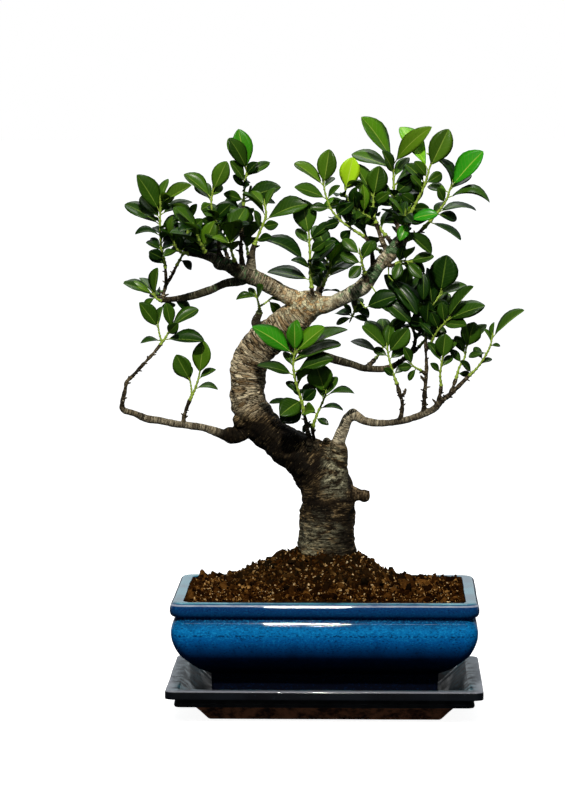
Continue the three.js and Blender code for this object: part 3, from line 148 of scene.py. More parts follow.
# Shoots as (step of the path at which wood turns to green stem, path, paths of side stems)
SHOOTS = {
    "leftLimb": (10, [
        (-16, 322, 1, 9), (-20.8, 326.8, 0, 7.8), (-30.4, 330.6, -1, 6.8), (-40.8, 336.4, -3, 6.8),
        (-51.2, 342, -5, 6.4), (-60.8, 346.6, -6, 6.6), (-68.8, 349.6, -7, 5.7),
        (-80.8, 356.2, -9, 5.2), (-91.2, 361.2, -10, 4), (-100.8, 363.6, -10, 2.9),
        (-109, 364.4, -9, 2.2), (-117, 366, -6, 1.4), (-122, 374, -2, 1.1),
    ]),
    "leftLow": (17, [
        (-58, 229, 8, 7), (-66, 221.5, 7, 6.2), (-74.6, 217.2, 5, 5.2), (-80, 218.5, 3, 4.5),
        (-96.5, 224.5, -3, 3.2), (-109.8, 226.5, -9, 3), (-119.8, 227.8, -14, 2.9),
        (-133, 230.5, -20, 3), (-143, 231.8, -24, 3), (-152.9, 235.8, -28, 2.5),
        (-162.2, 239, -31, 2.6), (-163.2, 244.6, -32, 2), (-160.9, 255, -31, 1.7),
        (-159.5, 261.6, -30, 1.8), (-154.2, 267, -28, 1.5), (-147, 274.9, -26, 1.5),
        (-139, 283.6, -24, 1.5), (-133, 290.8, -22, 1.4), (-127.4, 298.8, -21, 1.2),
        (-124, 306, -20, 0.9),
    ], [(-131.4, 293, -21.6, 1.1), (-133.4, 300.6, -22, 1), (-134.4, 307, -22, 0.8)]),
    "leftLowTwig": (3, [
        (-114, 227, -11, 2.2), (-114, 232, -11, 1.7), (-112.4, 238.4, -12, 1.5),
        (-109.1, 247, -13, 1.5), (-105.8, 253.7, -13, 1.3), (-102.5, 263, -14, 1.1),
        (-101.4, 268, -14, 0.9),
    ], [(-107.6, 250.2, -13, 1.1), (-107.8, 256, -12, 1), (-108.9, 263.5, -12, 0.8)]),
    "leftDark": (9, [
        (-62, 347, -4, 5), (-68.8, 342.8, 3, 4.2), (-80.8, 340.4, 9, 3.3), (-92.8, 335.2, 13, 3.2),
        (-108.8, 330, 17, 3.2), (-120.8, 328, 19, 2.6), (-129, 328, 20, 2.2), (-130, 332, 20, 1.9),
        (-128, 339.9, 20, 1.6), (-128.4, 352.4, 19, 1.4), (-129.5, 360.6, 18, 1.3),
        (-131.6, 368.2, 16, 1.3), (-132.4, 386.8, 12, 1.1), (-132.4, 406, 8, 0.9),
    ]),
    "leftDarkFork": (2, [
        (-128.6, 338, 20, 1.7), (-124, 345.4, 19, 1.4), (-119.2, 355, 16, 1.3),
        (-113.7, 366, 13, 1.2), (-111, 380, 11, 1.1), (-108.8, 393, 10, 0.9),
    ]),
    "leftDarkEnd": (1, [
        (-122, 328, 19, 2.2), (-131, 326.4, 20, 1.6), (-136, 329, 21, 1.2), (-138, 333, 21, 0.9),
    ]),
    "leftUpright": (2, [
        (-84, 357, -8, 2.6), (-86, 370, -14, 1.8), (-85.9, 383, -17, 1.5), (-91.5, 400, -19, 1.2),
        (-90.4, 416, -20, 0.9),
    ]),
    "leftHigh": (3, [
        (-66, 349, -5, 3), (-68, 366, 2, 1.9), (-67.5, 382, 6, 1.7), (-66.1, 402.2, 8, 1.4),
        (-65, 418, 8, 1.2), (-63, 432, 7, 0.9),
    ]),
    "leftStub": (3, [
        (-60, 346, -6, 4), (-59.2, 356, -8, 3.2), (-59.2, 364, -9, 2.6), (-57.4, 371, -9, 2.1),
        (-54.6, 378, -10, 1.4), (-48.2, 394, -12, 1.2), (-49, 403, -12, 0.9),
    ]),
    "leftFrontOuter": (1, [
        (-92, 361, -9, 2.4), (-97, 366, -20, 1.7), (-101, 374, -30, 1.4), (-105, 385, -38, 1),
    ]),
    "leftBackInner": (2, [
        (-78, 355, -6, 2.6), (-79, 362, 10, 1.8), (-81, 368, 22, 1.5), (-84, 377, 34, 1.3),
        (-88, 389, 43, 1),
    ]),
    "leftBackOuter": (1, [
        (-97, 363, -9, 2.2), (-99, 366, 10, 1.6), (-103, 372, 30, 1.3), (-109, 381, 46, 1),
    ]),
    "leftFrontInner": (1, [
        (-70, 350, -8, 2.6), (-73, 358, -20, 1.7), (-76, 368, -30, 1.3), (-78, 381, -38, 1),
    ]),
    "leftFarBack": (2, [
        (-64, 348, -4, 3), (-62, 355, 14, 2.2), (-62, 362, 30, 1.7), (-64, 372, 44, 1.3),
        (-68, 386, 56, 1),
    ]),
    "stubTwig": (3, [
        (-49, 294, 9, 7), (-54.5, 305, 6, 4.4), (-56.2, 310.6, 5, 3.6), (-53.6, 316.5, 2, 2.7),
        (-53.4, 321, 0, 1.6), (-54.4, 326, -2, 1.1), (-55.6, 330, -3, 0.9),
    ], [(-53.6, 322, -0.6, 1.1), (-48.5, 325, 1, 1), (-45, 328, 2, 0.8)]),
    "centreFront": (2, [
        (-12, 320, -3, 4), (-11.4, 331, -8, 2.4), (-11.6, 337, -10, 1.8), (-12.5, 350.4, -11, 1.5),
        (-13.1, 367, -12, 1.3), (-13.8, 380, -12, 1),
    ]),
    "centreBack": (3, [
        (-10, 320, 6, 6), (-7, 330, 22, 3.6), (-5, 337, 38, 2.6), (-2, 344, 52, 1.8),
        (0, 354, 62, 1.3), (2, 366, 68, 1),
    ]),
    "centreMiddle": (1, [
        (-6.6, 331, 24, 2.2), (-3, 338, 26, 1.6), (1, 347, 27, 1.3), (4, 359, 26, 1),
    ]),
    "rightFront": (1, [
        (33, 341, -8, 2.6), (31, 348, -17, 1.7), (29, 355, -24, 1.3), (27, 365, -29, 1),
    ]),
    "underRight": (1, [
        (22, 331, -2, 3), (23, 324, 8, 1.6), (22.4, 318, 15, 1.2), (20, 312.6, 20, 0.9),
    ]),
    "topLeft": (3, [
        (38, 350, -6, 3), (37, 360, -9, 2.1), (35.5, 370.6, -11, 1.7), (30.4, 377.6, -13, 1.4),
        (21.2, 383.6, -14, 1.3), (11.2, 391, -15, 1.2), (4, 399.5, -16, 1.1), (-0.2, 410.2, -16, 1),
        (-2.4, 420, -16, 0.8),
    ]),
    "topMiddle": (2, [
        (50, 363, -6, 2.8), (44, 376, 2, 1.9), (40, 388, 6, 1.7), (37.6, 398, 8, 1.4),
        (37.6, 411, 8, 1),
    ], [
        (38.8, 392, 6.6, 1.2), (30, 395.6, 3, 1.1), (22.6, 400.5, 1, 1), (16, 409, 0, 0.9),
        (15, 415, 0, 0.8),
    ]),
    "topHigh": (3, [
        (60, 376, 0, 3.6), (57.5, 383, 4, 2.4), (55.8, 391.6, 6, 1.9), (54.3, 401.7, 7, 1.6),
        (53.6, 419.6, 8, 1.3), (53.2, 438, 8, 0.9),
    ]),
    "topRight": (2, [
        (61, 378, 0, 3.6), (64, 387, -6, 2.2), (66.4, 395, -9, 1.7), (72.8, 407.4, -12, 1.4),
        (78.6, 420.2, -14, 1.2), (82.5, 434, -15, 0.9),
    ]),
    "topFarRight": (3, [
        (60.5, 375, -1, 3.6), (66, 377, -4, 2.4), (71, 379, -6, 1.9), (77.2, 384.6, -8, 1.6),
        (89.4, 398.1, -10, 1.3), (95.8, 408, -11, 1.2), (99, 418, -11, 0.9),
    ]),
    "topBackOuter": (2, [
        (62, 379, 1, 3), (64, 385, 16, 2), (66, 389, 30, 1.6), (68, 396, 42, 1.3), (71, 407, 50, 1),
    ]),
    "topBackInner": (1, [
        (55, 370, 1, 2.8), (48, 378, 16, 1.8), (42, 386, 28, 1.3), (37, 398, 38, 1),
    ]),
    "topFront": (1, [
        (57, 371, -4, 2.8), (60, 377, -20, 1.8), (62, 385, -32, 1.3), (63, 396, -40, 1),
    ]),
    "backLimb": (3, [
        (44, 356, -2, 4.6), (50, 361, 18, 2.9), (54, 365, 38, 2.3), (58, 370, 54, 1.7),
        (62, 378, 66, 1.3), (65, 390, 74, 1),
    ]),
    "backLimbInner": (1, [
        (51.6, 362.4, 27, 2.4), (44, 366, 40, 1.6), (36, 372, 50, 1.3), (30, 382, 58, 1),
    ]),
    "rightFrontLow": (2, [
        (46, 359, -6, 2.6), (50, 355, -13, 1.7), (55, 356, -18, 1.4), (60.5, 358.6, -21, 1.2),
        (67, 358, -23, 0.9),
    ]),
    "rightLow": (16, [
        (1.6, 170, -2, 14), (6.4, 192, -3, 10.6), (9.2, 206.8, -4, 8), (10.1, 213.8, -5, 5.6),
        (13.1, 222.4, -6, 4.8), (17.2, 232, -8, 4.2), (23, 235, -9, 4.2), (31.2, 230.6, -11, 3.3),
        (44.8, 228.8, -14, 3), (58.8, 230.2, -17, 2.7), (69.1, 233, -19, 2.8), (78.1, 236.4, -21, 3),
        (86.3, 240.5, -22, 2.8), (93.2, 247.4, -23, 2.3), (100.1, 252.9, -24, 2),
        (107, 259.8, -25, 1.6), (113.9, 266.8, -26, 1.4), (120.8, 273.6, -27, 1.2),
        (127.7, 283.9, -28, 1.1), (131.1, 291.6, -28, 1), (132.5, 298, -28, 0.8),
    ]),
    "rightTwigInner": (4, [
        (58.5, 230.2, -17, 2.4), (60.2, 236, -17, 1.8), (60.8, 245.4, -16, 1.6),
        (58.8, 252.2, -15, 1.7), (56.7, 259.8, -14, 1.5), (53.3, 269.4, -13, 1.3),
        (50.4, 279.8, -12, 1.1), (49, 288, -12, 0.9),
    ]),
    "rightTwigMiddle": (6, [
        (78.1, 236.2, -21, 2.6), (78.4, 244, -20, 2), (78.7, 252.2, -18, 1.9),
        (79.4, 260.5, -16, 1.6), (80.2, 272.9, -13, 1.5), (79.4, 290.2, -9, 1.4),
        (79.6, 300, -6, 1.3), (80.8, 310.8, -4, 1.2), (85, 322, -2, 1.1), (92, 334, 0, 0.9),
    ]),
    "rightTwigSide": (1, [
        (79.6, 268, -14, 2), (76, 271, -17, 1.3), (72, 273, -20, 1.1), (68, 276, -22, 0.8),
    ]),
    "rightTwigOuter": (2, [
        (88, 241.6, -22, 2.6), (90.4, 249.5, -23, 1.7), (91.8, 258.4, -26, 1.4),
        (91.1, 268, -28, 1.2), (93, 282, -30, 0.9),
    ]),
    "rightTwigEnd": (2, [
        (99, 252, -24, 2), (101, 257, -24, 1.5), (103.5, 263.9, -22, 1.4), (106.3, 273.6, -20, 1.2),
        (110.4, 281.2, -18, 1.1), (112, 291, -17, 0.9),
    ]),
    "middleBack": (10, [
        (-48, 291, 10, 7), (-34.4, 290.8, 16, 4.6), (-11.2, 285.6, 22, 4), (7.2, 279.6, 28, 3.4),
        (19.2, 276.4, 32, 3.2), (31.2, 272.8, 36, 2.9), (48, 272.6, 40, 2.6), (57.6, 277.2, 42, 2.2),
        (67.2, 285.2, 42, 2), (71.2, 296.4, 40, 1.7), (67.2, 310, 36, 1.4), (64, 321, 33, 1.2),
        (62, 331, 32, 0.9),
    ]),
    "middleUpper": (1, [
        (64, 281, 42, 2.2), (74, 290, 46, 1.4), (82, 300, 48, 1.2), (90, 311, 48, 0.9),
    ]),
    "middleOuter": (1, [
        (71.4, 297, 40, 1.9), (77, 305, 36, 1.3), (82, 314, 30, 1.1), (87, 324, 26, 0.9),
    ]),
    "middleFar": (1, [
        (31, 272.6, 36, 2.4), (38, 279, 50, 1.7), (44, 287, 62, 1.3), (48, 298, 70, 1),
    ]),
    "rightSpray": (1, [
        (79.6, 287, -10, 1.6), (84, 294, -16, 1.2), (89, 303, -22, 1.1), (97, 312, -26, 0.8),
    ]),
    "front": (3, [
        (-13, 205, -8, 3.4), (-13.4, 213, -19, 2.4), (-15, 224, -26, 1.9), (-17.5, 236, -30, 1.7),
        (-20, 247.6, -33, 1.5), (-24.4, 262, -36, 1.3), (-26.4, 276, -38, 1.1), (-25, 286, -38, 0.9),
    ]),
    "frontSide": (2, [
        (-7, 206, -8, 2.8), (-9.4, 215, -18, 1.9), (-10.6, 225, -22, 1.6), (-7.2, 235.8, -25, 1.3),
        (-1.1, 249.8, -27, 1), (0, 257, -28, 0.8),
    ]),
}

# Numbers along lists


def unit(vectors):
    return vectors / np.linalg.norm(vectors, axis=-1, keepdims=True)


def square_to(run, way):
    """The direction at right angles to run that is nearest to way."""
    ahead = unit(run)
    return unit(way - ahead * (way @ ahead))


def blend_along(values, t):
    """Smooth values at t steps along a list."""
    padded = np.concatenate([[2 * values[0] - values[1]], values, [2 * values[-1] - values[-2]]])
    t = np.asarray(t, float)
    i = np.clip(np.floor(t).astype(int), 0, len(values) - 2)
    f = (t - i).reshape(t.shape + (1,) * (values.ndim - 1))
    a, b, c, d = (padded[i + k] for k in range(4))
    return b + 0.5 * f * (c - a + f * (2 * a - 5 * b + 4 * c - d + f * (3 * (b - c) + d - a)))


def smooth_step(low, high, value):
    share = np.clip((value - low) / (high - low), 0, 1)
    return share * share * (3 - 2 * share)


# Place of the camera, from which the listed points were drawn
EYE = (44.7, -3077, 500.8)

# Part of a step to each side over which a path's direction is taken
NEARBY = 0.05


def seen(x, z, y):
    """The place in metres, y deep, that shows at x, z in the upright plane through the trunk."""
    share = (y - EYE[1]) / -EYE[1]
    return MM * np.array([EYE[0] + (x - EYE[0]) * share, y, EYE[2] + (z - EYE[2]) * share])


class Path:
    """Smooth line through places, with a radius at each, all in metres; t counts the places."""

    def __init__(self, places, radii):
        self.places = np.array(places, float)
        self.radii = np.array(radii, float)
        self.last = len(self.places) - 1

    def at(self, t):
        return blend_along(self.places, t)

    def radius(self, t):
        return blend_along(self.radii, t)

    def direction(self, t):
        ahead, behind = np.minimum(t + NEARBY, self.last), np.maximum(t - NEARBY, 0)
        return unit(self.at(ahead) - self.at(behind))


def path_of(rows):
    """The path of listed rows (x, z, y, radius)."""
    radii = MM * np.array([float(radius) for *_, radius in rows])
    return Path([seen(x, z, y) for x, z, y, _ in rows], radii)


def stems_of(green, rows, *sides):
    """The stems of a shoot as (path, step at which it turns green)."""
    return [(path_of(rows), green)] + [(path_of(side), 0) for side in sides]


# Meshes


class Pile:
    """Vertices, faces and per-vertex values of many small shapes, gathered for one mesh."""

    def __init__(self):
        self.vertices = []
        self.faces = []
        self.kinds = []
        self.values = {}
        self.size = 0

    def add(self, vertices, faces, kind=0, **values):
        """Values are one array each, or one number for the whole shape."""
        vertices = np.asarray(vertices, float).reshape(-1, 3)
        self.vertices.append(vertices)
        self.faces += [tuple(self.size + int(i) for i in face) for face in faces]
        self.kinds += [kind] * len(faces)
        for name, value in values.items():
            filled = np.broadcast_to(np.asarray(value, float), (len(vertices),))
            self.values.setdefault(name, []).append(filled)
        self.size += len(vertices)

    def mesh(self, name):
        mesh = bpy.data.meshes.new(name)
        mesh.from_pydata(np.concatenate(self.vertices).tolist(), [], self.faces)
        mesh.polygons.foreach_set("material_index", self.kinds)
        mesh.polygons.foreach_set("use_smooth", [True] * len(self.faces))
        for key, arrays in self.values.items():
            store(mesh, key, np.concatenate(arrays))
        return mesh


def store(mesh, name, values):
    """Keeps one number for each vertex as a named attribute."""
    layer = mesh.attributes.get(name) or mesh.attributes.new(name, "FLOAT", "POINT")
    layer.data.foreach_set("value", np.ascontiguousarray(values, np.float32))


def coordinates(mesh):
    flat = np.empty(len(mesh.vertices) * 3)
    mesh.vertices.foreach_get("co", flat)
    return flat.reshape(-1, 3)


def move_to(mesh, places):
    mesh.vertices.foreach_set("co", np.ascontiguousarray(places).ravel())
    mesh.update()


def normals(mesh):
    flat = np.empty(len(mesh.vertices) * 3, np.float32)
    mesh.vertex_normals.foreach_get("vector", flat)
    return flat.reshape(-1, 3).astype(float)


def linked(name, data):
    """A new object in the scene."""
    made = bpy.data.objects.new(name, data)
    bpy.context.scene.collection.objects.link(made)
    return made


def place(name, mesh, materials, replaced=()):
    """Puts a finished mesh into the scene as one piece of the object."""
    piece = linked(name, mesh)
    mesh.materials.clear()
    for material in materials:
        mesh.materials.append(material)
    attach(piece, "root")
    if replaced:
        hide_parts(*replaced)


def evaluated(holder):
    """The plain mesh of an object with its modifiers applied. The object itself goes."""
    bpy.context.view_layer.update()
    ready = holder.evaluated_get(bpy.context.evaluated_depsgraph_get())
    result = bpy.data.meshes.new_from_object(ready)
    bpy.data.objects.remove(holder)
    return result


def finished(mesh, *modifiers):
    """A mesh with modifiers (kind, settings) applied to it."""
    holder = linked("holder", mesh)
    for kind, settings in modifiers:
        modifier = holder.modifiers.new(kind.title(), kind)
        for key, value in settings.items():
            setattr(modifier, key, value)
    return evaluated(holder)


def ring_faces(rings, sides):
    """Quads between rings of points that follow one another."""
    ring = np.arange(rings - 1)[:, None] * sides
    a = ring + np.arange(sides)
    b = ring + (np.arange(sides) + 1) % sides
    return np.stack([a, b, b + sides, a + sides], -1).reshape(-1, 4).tolist()


def closed_rings(rings):
    """Vertices and faces of a stack of rings, with a fan over each end."""
    count, sides, _ = rings.shape
    vertices = np.concatenate([rings.reshape(-1, 3), [rings[0].mean(0)], [rings[-1].mean(0)]])
    faces = ring_faces(count, sides)
    low, high = count * sides, count * sides + 1
    last = (count - 1) * sides
    for i in range(sides):
        following = (i + 1) % sides
        faces.append((following, i, low))
        faces.append((last + i, last + following, high))
    return vertices, faces


def tube(path, sides, per_step, swell=None, start=0, end=None):
    """Rings of points round a path, after the steps of the path at which they lie."""
    end = path.last if end is None else end
    t = np.linspace(start, end, max(round((end - start) * per_step), 2) + 1)
    centre, direction = path.at(t), path.direction(t)
    whole = unit(path.at(end) - path.at(start))
    runs_deep = abs(whole[1]) > 0.75
    reference = np.array([1.0, 0, 0] if runs_deep else [0, -1.0, 0])
    across = unit(reference - direction * (direction @ reference)[:, None])
    up = np.cross(direction, across)
    angle = 2 * np.pi * np.arange(sides) / sides
    radius = path.radius(t)[:, None] * np.ones(sides)
    if swell:
        radius = radius * swell(angle[None], t[:, None])
    around = across[:, None] * np.cos(angle)[:, None] + up[:, None] * np.sin(angle)[:, None]
    return t, centre[:, None] + radius[..., None] * around


# Nodes


def add_node(tree, kind, settings=(), values=(), output=0):
    """Adds a node: its settings first, then a value or a link for each input. Gives one output."""
    node = tree.nodes.new(kind)
    for key, value in dict(settings).items():
        setattr(node, key, value)
    for key, value in dict(values).items():
        if isinstance(value, bpy.types.NodeSocket):
            tree.links.new(value, node.inputs[key])
        else:
            node.inputs[key].default_value = value
    return node.outputs[output] if len(node.outputs) else None


class Socket:
    """One output of a shader node. Arithmetic on it adds Math nodes."""

    def __init__(self, finish, output):
        self.finish = finish
        self.output = output

    def maths(self, operation, *values):
        return self.finish.node("ShaderNodeMath", {"operation": operation}, dict(enumerate(values)))

    def __add__(self, other):
        return self.maths("ADD", self, other)

    def __sub__(self, other):
        return self.maths("SUBTRACT", self, other)

    def __mul__(self, other):
        return self.maths("MULTIPLY", self, other)

    def __truediv__(self, other):
        return self.maths("DIVIDE", self, other)

    def __pow__(self, other):
        return self.maths("POWER", self, other)

    def __rsub__(self, other):
        return self.maths("SUBTRACT", other, self)

    def __abs__(self):
        return self.maths("ABSOLUTE", self)

    __radd__ = __add__
    __rmul__ = __mul__


class Finish:
    """A material under construction."""

    def __init__(self, name):
        self.material = bpy.data.materials.new(name)
        self.material.use_nodes = True
        self.tree = self.material.node_tree
        self.tree.nodes.clear()

    def node(self, kind, settings=(), values=(), output=0):
        """Adds a node whose values are numbers, colours or Sockets."""
        plain = dict(values)
        for key, value in plain.items():
            if isinstance(value, Socket):
                plain[key] = value.output
        return Socket(self, add_node(self.tree, kind, settings, plain, output))

    def position(self):
        return self.node("ShaderNodeTexCoord", output="Object")

    def parts(self, vector):
        first = self.node("ShaderNodeSeparateXYZ", values={0: vector})
        return [Socket(self, output) for output in first.output.node.outputs]

    def vector(self, x, y, z):
        return self.node("ShaderNodeCombineXYZ", values={0: x, 1: y, 2: z})

    def attribute(self, name):
        return self.node("ShaderNodeAttribute", {"attribute_name": name}, output="Fac")

    def stretched(self, vector, scale):
        return self.node("ShaderNodeVectorMath", {"operation": "MULTIPLY"}, {0: vector, 1: scale})

    def noise(self, vector, scale, detail=3, roughness=0.55):
        values = {"Vector": vector, "Scale": scale, "Detail": detail, "Roughness": roughness}
        return self.node("ShaderNodeTexNoise", values=values)

    def cells(self, vector, feature="F1", output="Distance"):
        """Cells one unit wide."""
        values = {"Vector": vector, "Scale": 1}
        return self.node("ShaderNodeTexVoronoi", {"feature": feature}, values, output)

    def step(self, low, high, value):
        """0 below low, 1 above high, smooth between; falls where low is above high."""
        values = {"Value": value, "From Min": min(low, high), "From Max": max(low, high)}
        if low > high:
            values.update({"To Min": 1.0, "To Max": 0.0})
        return self.node("ShaderNodeMapRange", {"interpolation_type": "SMOOTHSTEP"}, values)

    def window(self, value, start, full, fading, gone):
        """1 between full and fading, smooth down to 0 at start and at gone."""
        return self.step(start, full, value) * self.step(gone, fading, value)

    def zone(self, name):
        """Part of the tree with soft edges, from the steps that ZONES lists for it."""
        spot = dict(zip("xyz", self.parts(self.position())))
        steps = (self.step(low * MM, high * MM, spot[axis]) for axis, low, high in ZONES[name])
        return math.prod(steps)

    def ramp(self, value, *stops):
        colour = self.node("ShaderNodeValToRGB", values={0: value})
        set_stops(colour.output.node.color_ramp, stops)
        return colour

    def mix(self, share, first, second):
        first, second = ((*c, 1) if isinstance(c, tuple) else c for c in (first, second))
        values = {0: share, 6: first, 7: second}
        return self.node("ShaderNodeMix", {"data_type": "RGBA"}, values, output=2)

    def blend(self, value, low, high, first, second):
        """First colour where a value is below low, second where it is above high."""
        return self.mix(self.step(low, high, value), first, second)

    def layered(self, colour, *layers):
        """A colour with layers (share, colour) laid over it one after another."""
        for share, over in layers:
            colour = self.mix(share, colour, over)
        return colour

    def bump(self, height, depth, strength=1.0):
        values = {"Height": height, "Distance": depth, "Strength": strength}
        return self.node("ShaderNodeBump", values=values)

    def surface(self, **values):
        """Ends the material in one shader; words in socket names are joined by underscores."""
        values = {key.replace("_", " "): value for key, value in values.items()}
        shader = self.node("ShaderNodeBsdfPrincipled", values=values)
        self.node("ShaderNodeOutputMaterial", values={"Surface": shader})
        return self.material


def set_stops(ramp, stops):
    while len(ramp.elements) < len(stops):
        ramp.elements.new(1)
    for element, (position, colour) in zip(ramp.elements, stops):
        element.position = position
        element.color = (*colour, 1)


# Finishes: places and heights in their sums are in metres

# Parts of the tree that look different from the rest, as soft steps (axis, low, high) in
# millimetres; a step falls where low is above high
ZONES = {
    "fork": [("z", 300, 325), ("x", -50, -30), ("x", 14, 0)],
    "cream": [("z", 300, 315), ("x", -4, 6), ("x", 45, 25)],
    "arm": [("x", -62, -52), ("x", -22, -30), ("z", 322, 330)],
    "outer": [("x", -45, -70), ("z", 300, 320)],
    # behind: the branch behind the leaves, darkened as painted shade
    "behind": [("y", 12, 18), ("x", -36, -26), ("z", 300, 292), ("z", 250, 260)],
    "stub": [("x", -50, -53), ("x", -64, -61), ("z", 301, 308), ("z", 330, 320)],
    "stalk_feet": [("x", -49.5, -50.5), ("x", -61.5, -60.5), ("z", 313.2, 314), ("z", 319.6, 318.8)],
    "cut": [("x", 19, 24), ("z", 200, 192)],
    "sawn": [("x", 33.5, 34.1), ("z", 190, 185)],
    "right_low": [("z", 208, 216), ("x", 2, 8)],
    "shoulder": [("z", 168, 178), ("z", 216, 200), ("x", -6, 4), ("x", 20, 12)],
    # under and heel: where painted shade darkens the trunk
    "under": [("x", -8, -18), ("z", 236, 222), ("z", 166, 184)],
    "heel_shade": [("z", 170, 152), ("x", 24, 20)],
}

# Cushions of moss on the limbs as (x, z), and the middle of the sawn stump as (y, z)
MOSS_CUSHIONS = [(53, 372), (37.5, 347.5)]
STUMP_MIDDLE = (-5, 170.4)


def pot_glaze():
    """Deep blue gloss glaze, mottled, with painted light bright on the shoulder, painted shade dark in
    the groove and nearly black under the belly, and a painted reflection and highlight on the rim.
    """
    f = Finish("pot_glaze")
    spot = f.position()
    height = f.parts(spot)[2]
    speckle = f.noise(f.stretched(spot, (520, 520, 900)), 1, 4, 0.7)
    cloud = f.noise(spot, 38, 3)
    runs = f.noise(f.stretched(spot, (90, 90, 12)), 1, 2)
    tone = height + 0.005 * (cloud - 0.5) + 0.007 * (runs - 0.5)
    # The ramp by height paints light and shade over the blue: brightest on the shoulder, dark in the
    # groove, nearly black under the belly
    base = f.ramp(
        (tone - 0.012) / 0.085,
        (0.0, (0.002, 0.002, 0.004)), (0.3, (0.001, 0.003, 0.012)), (0.43, (0.001, 0.015, 0.06)),
        (0.54, (0.001, 0.05, 0.2)), (0.63, (0.001, 0.11, 0.4)), (0.73, (0.002, 0.18, 0.5)),
        (0.81, (0.0005, 0.05, 0.16)), (0.95, (0.0005, 0.035, 0.15)), (1.0, (0.006, 0.09, 0.2)),
    )
    # Bright speckles on the shoulder: the glaze's own mottling, brightened there as painted sheen
    shoulder = f.step(0.054, 0.074, height) * (1 - 0.8 * f.step(0.08, 0.085, height))
    turning = f.window(height, 0.0688, 0.0694, 0.07, 0.0706)
    turning += f.window(height, 0.0806, 0.0816, 0.0836, 0.0846)
    # A thin pale line along the rim's top edge: painted highlight
    edge = f.window(height, 0.0926, 0.0932, 0.0938, 0.0944)
    colour = f.layered(
        base,
        (f.step(0.52, 0.66, speckle) * shoulder * 0.6, (0.012, 0.36, 0.75)),
        (f.step(0.46, 0.34, speckle - 0.09 * turning) * 0.8, (0.001, 0.012, 0.045)),
        # Paler top of the rim: painted reflection of the bright wall behind
        (
            f.step(0.0942, 0.0952, height) * 0.8,
            f.blend(cloud, 0.4, 0.6, (0.015, 0.11, 0.17), (0.06, 0.3, 0.38)),
        ),
        # Painted highlight along the rim's top edge
        (edge * (0.45 + 0.8 * (runs - 0.4)), (0.55, 0.6, 0.72)),
    )
    gloss = 0.5 * f.window(height, 0.0735, 0.0755, 0.0802, 0.0812) + f.step(0.084, 0.09, height)
    return f.surface(
        Base_Color=colour, Roughness=0.55 + 0.2 * cloud, Specular_IOR_Level=0.03,
        Coat_Weight=0.004 + 0.996 * gloss, Coat_Roughness=0.035,
    )


def tray_glaze():
    """Blue-black glaze with milky patches that are partly painted reflection, a painted highlight along
    the rim's top, and bare red-brown clay on the slope under the step.
    """
    f = Finish("tray_glaze")
    spot = f.position()
    height = f.parts(spot)[2]
    inner = f.attribute("inner")
    speckle = f.noise(spot, 420, 4, 0.7)
    cloud = f.noise(spot, 30, 3)
    patch = f.noise(spot, 120, 4, 0.65)
    # Pale blue patches within the rim: the glaze's milky mottling, strengthened as painted reflection of
    # the bright wall
    milky_glaze_and_reflection = f.step(0.38, 0.62, patch) * inner * f.step(0.012, 0.02, height)
    # Pale top edge of the rim's outside: painted highlight
    edge = f.step(0.026, 0.0264, height) * (1 - inner)
    bare = f.step(0.0135, 0.0115, height + 0.002 * (cloud - 0.5)) * (1 - inner)
    colour = f.layered(
        f.blend(cloud, 0.35, 0.7, (0.0015, 0.002, 0.004), (0.004, 0.006, 0.01)),
        (f.step(0.6, 0.75, speckle) * 0.35, (0.03, 0.05, 0.075)),
        (milky_glaze_and_reflection * 0.8, (0.035, 0.14, 0.19)),
        (edge * 0.5, (0.4, 0.42, 0.5)),
        (bare, f.blend(patch, 0.35, 0.65, (0.04, 0.014, 0.008), (0.45, 0.17, 0.08))),
    )
    return f.surface(
        Base_Color=colour, Roughness=0.5 + 0.3 * bare, Specular_IOR_Level=0.15,
        Coat_Weight=(0.14 + 0.36 * f.step(0.4, 0.6, patch)) * (1 - bare), Coat_Roughness=0.06,
    )


def mesh_plastic():
    f = Finish("mesh_plastic")
    grain = f.noise(f.position(), 900, 2)
    colour = f.mix(grain, (0.012, 0.013, 0.015), (0.03, 0.032, 0.035))
    return f.surface(Base_Color=colour, Roughness=0.45 + 0.2 * grain, Normal=f.bump(grain, 0.0001, 0.5))


def soil_earth():
    """Soil between the crumbs."""
    f = Finish("soil_earth")
    spot = f.position()
    grain = f.noise(spot, 420, 5, 0.75)
    cloud = f.noise(spot, 45, 3)
    colour = f.ramp(
        grain * 0.8 + cloud * 0.2,
        (0.36, (0.003, 0.0012, 0.0005)), (0.5, (0.02, 0.007, 0.0015)), (0.62, (0.075, 0.028, 0.005)),
        (0.74, (0.2, 0.085, 0.015)),
    )
    return f.surface(
        Base_Color=colour, Roughness=0.95, Normal=f.bump(grain, 0.0015), Specular_IOR_Level=0.0,
    )


def soil_crumb():
    """Crumbs of bark, peat and clay, each with a shade of its own; darker on the mound."""
    f = Finish("soil_crumb")
    lot = f.attribute("lot")
    spot = f.position()
    grain = f.noise(spot, 900, 3, 0.7)
    cloud = f.noise(spot, 60, 3)
    mound = f.step(0.099, 0.112, f.parts(spot)[2] + 0.01 * (cloud - 0.5))
    shade = f.ramp(
        lot,
        (0.0, (0.003, 0.0015, 0.001)), (0.3, (0.018, 0.006, 0.0015)), (0.52, (0.055, 0.02, 0.004)),
        (0.74, (0.2, 0.085, 0.018)), (0.87, (0.5, 0.27, 0.08)), (1.0, (1.0, 0.76, 0.42)),
    )
    colour = f.layered(
        shade,
        (f.step(0.4, 0.6, grain) * 0.55, (0.006, 0.0026, 0.001)),
        (mound * 0.6 * f.step(0.95, 0.8, lot), (0.013, 0.009, 0.004)),
    )
    return f.surface(
        Base_Color=colour, Roughness=0.92, Normal=f.bump(grain, 0.0004, 0.6), Specular_IOR_Level=0.0,
    )


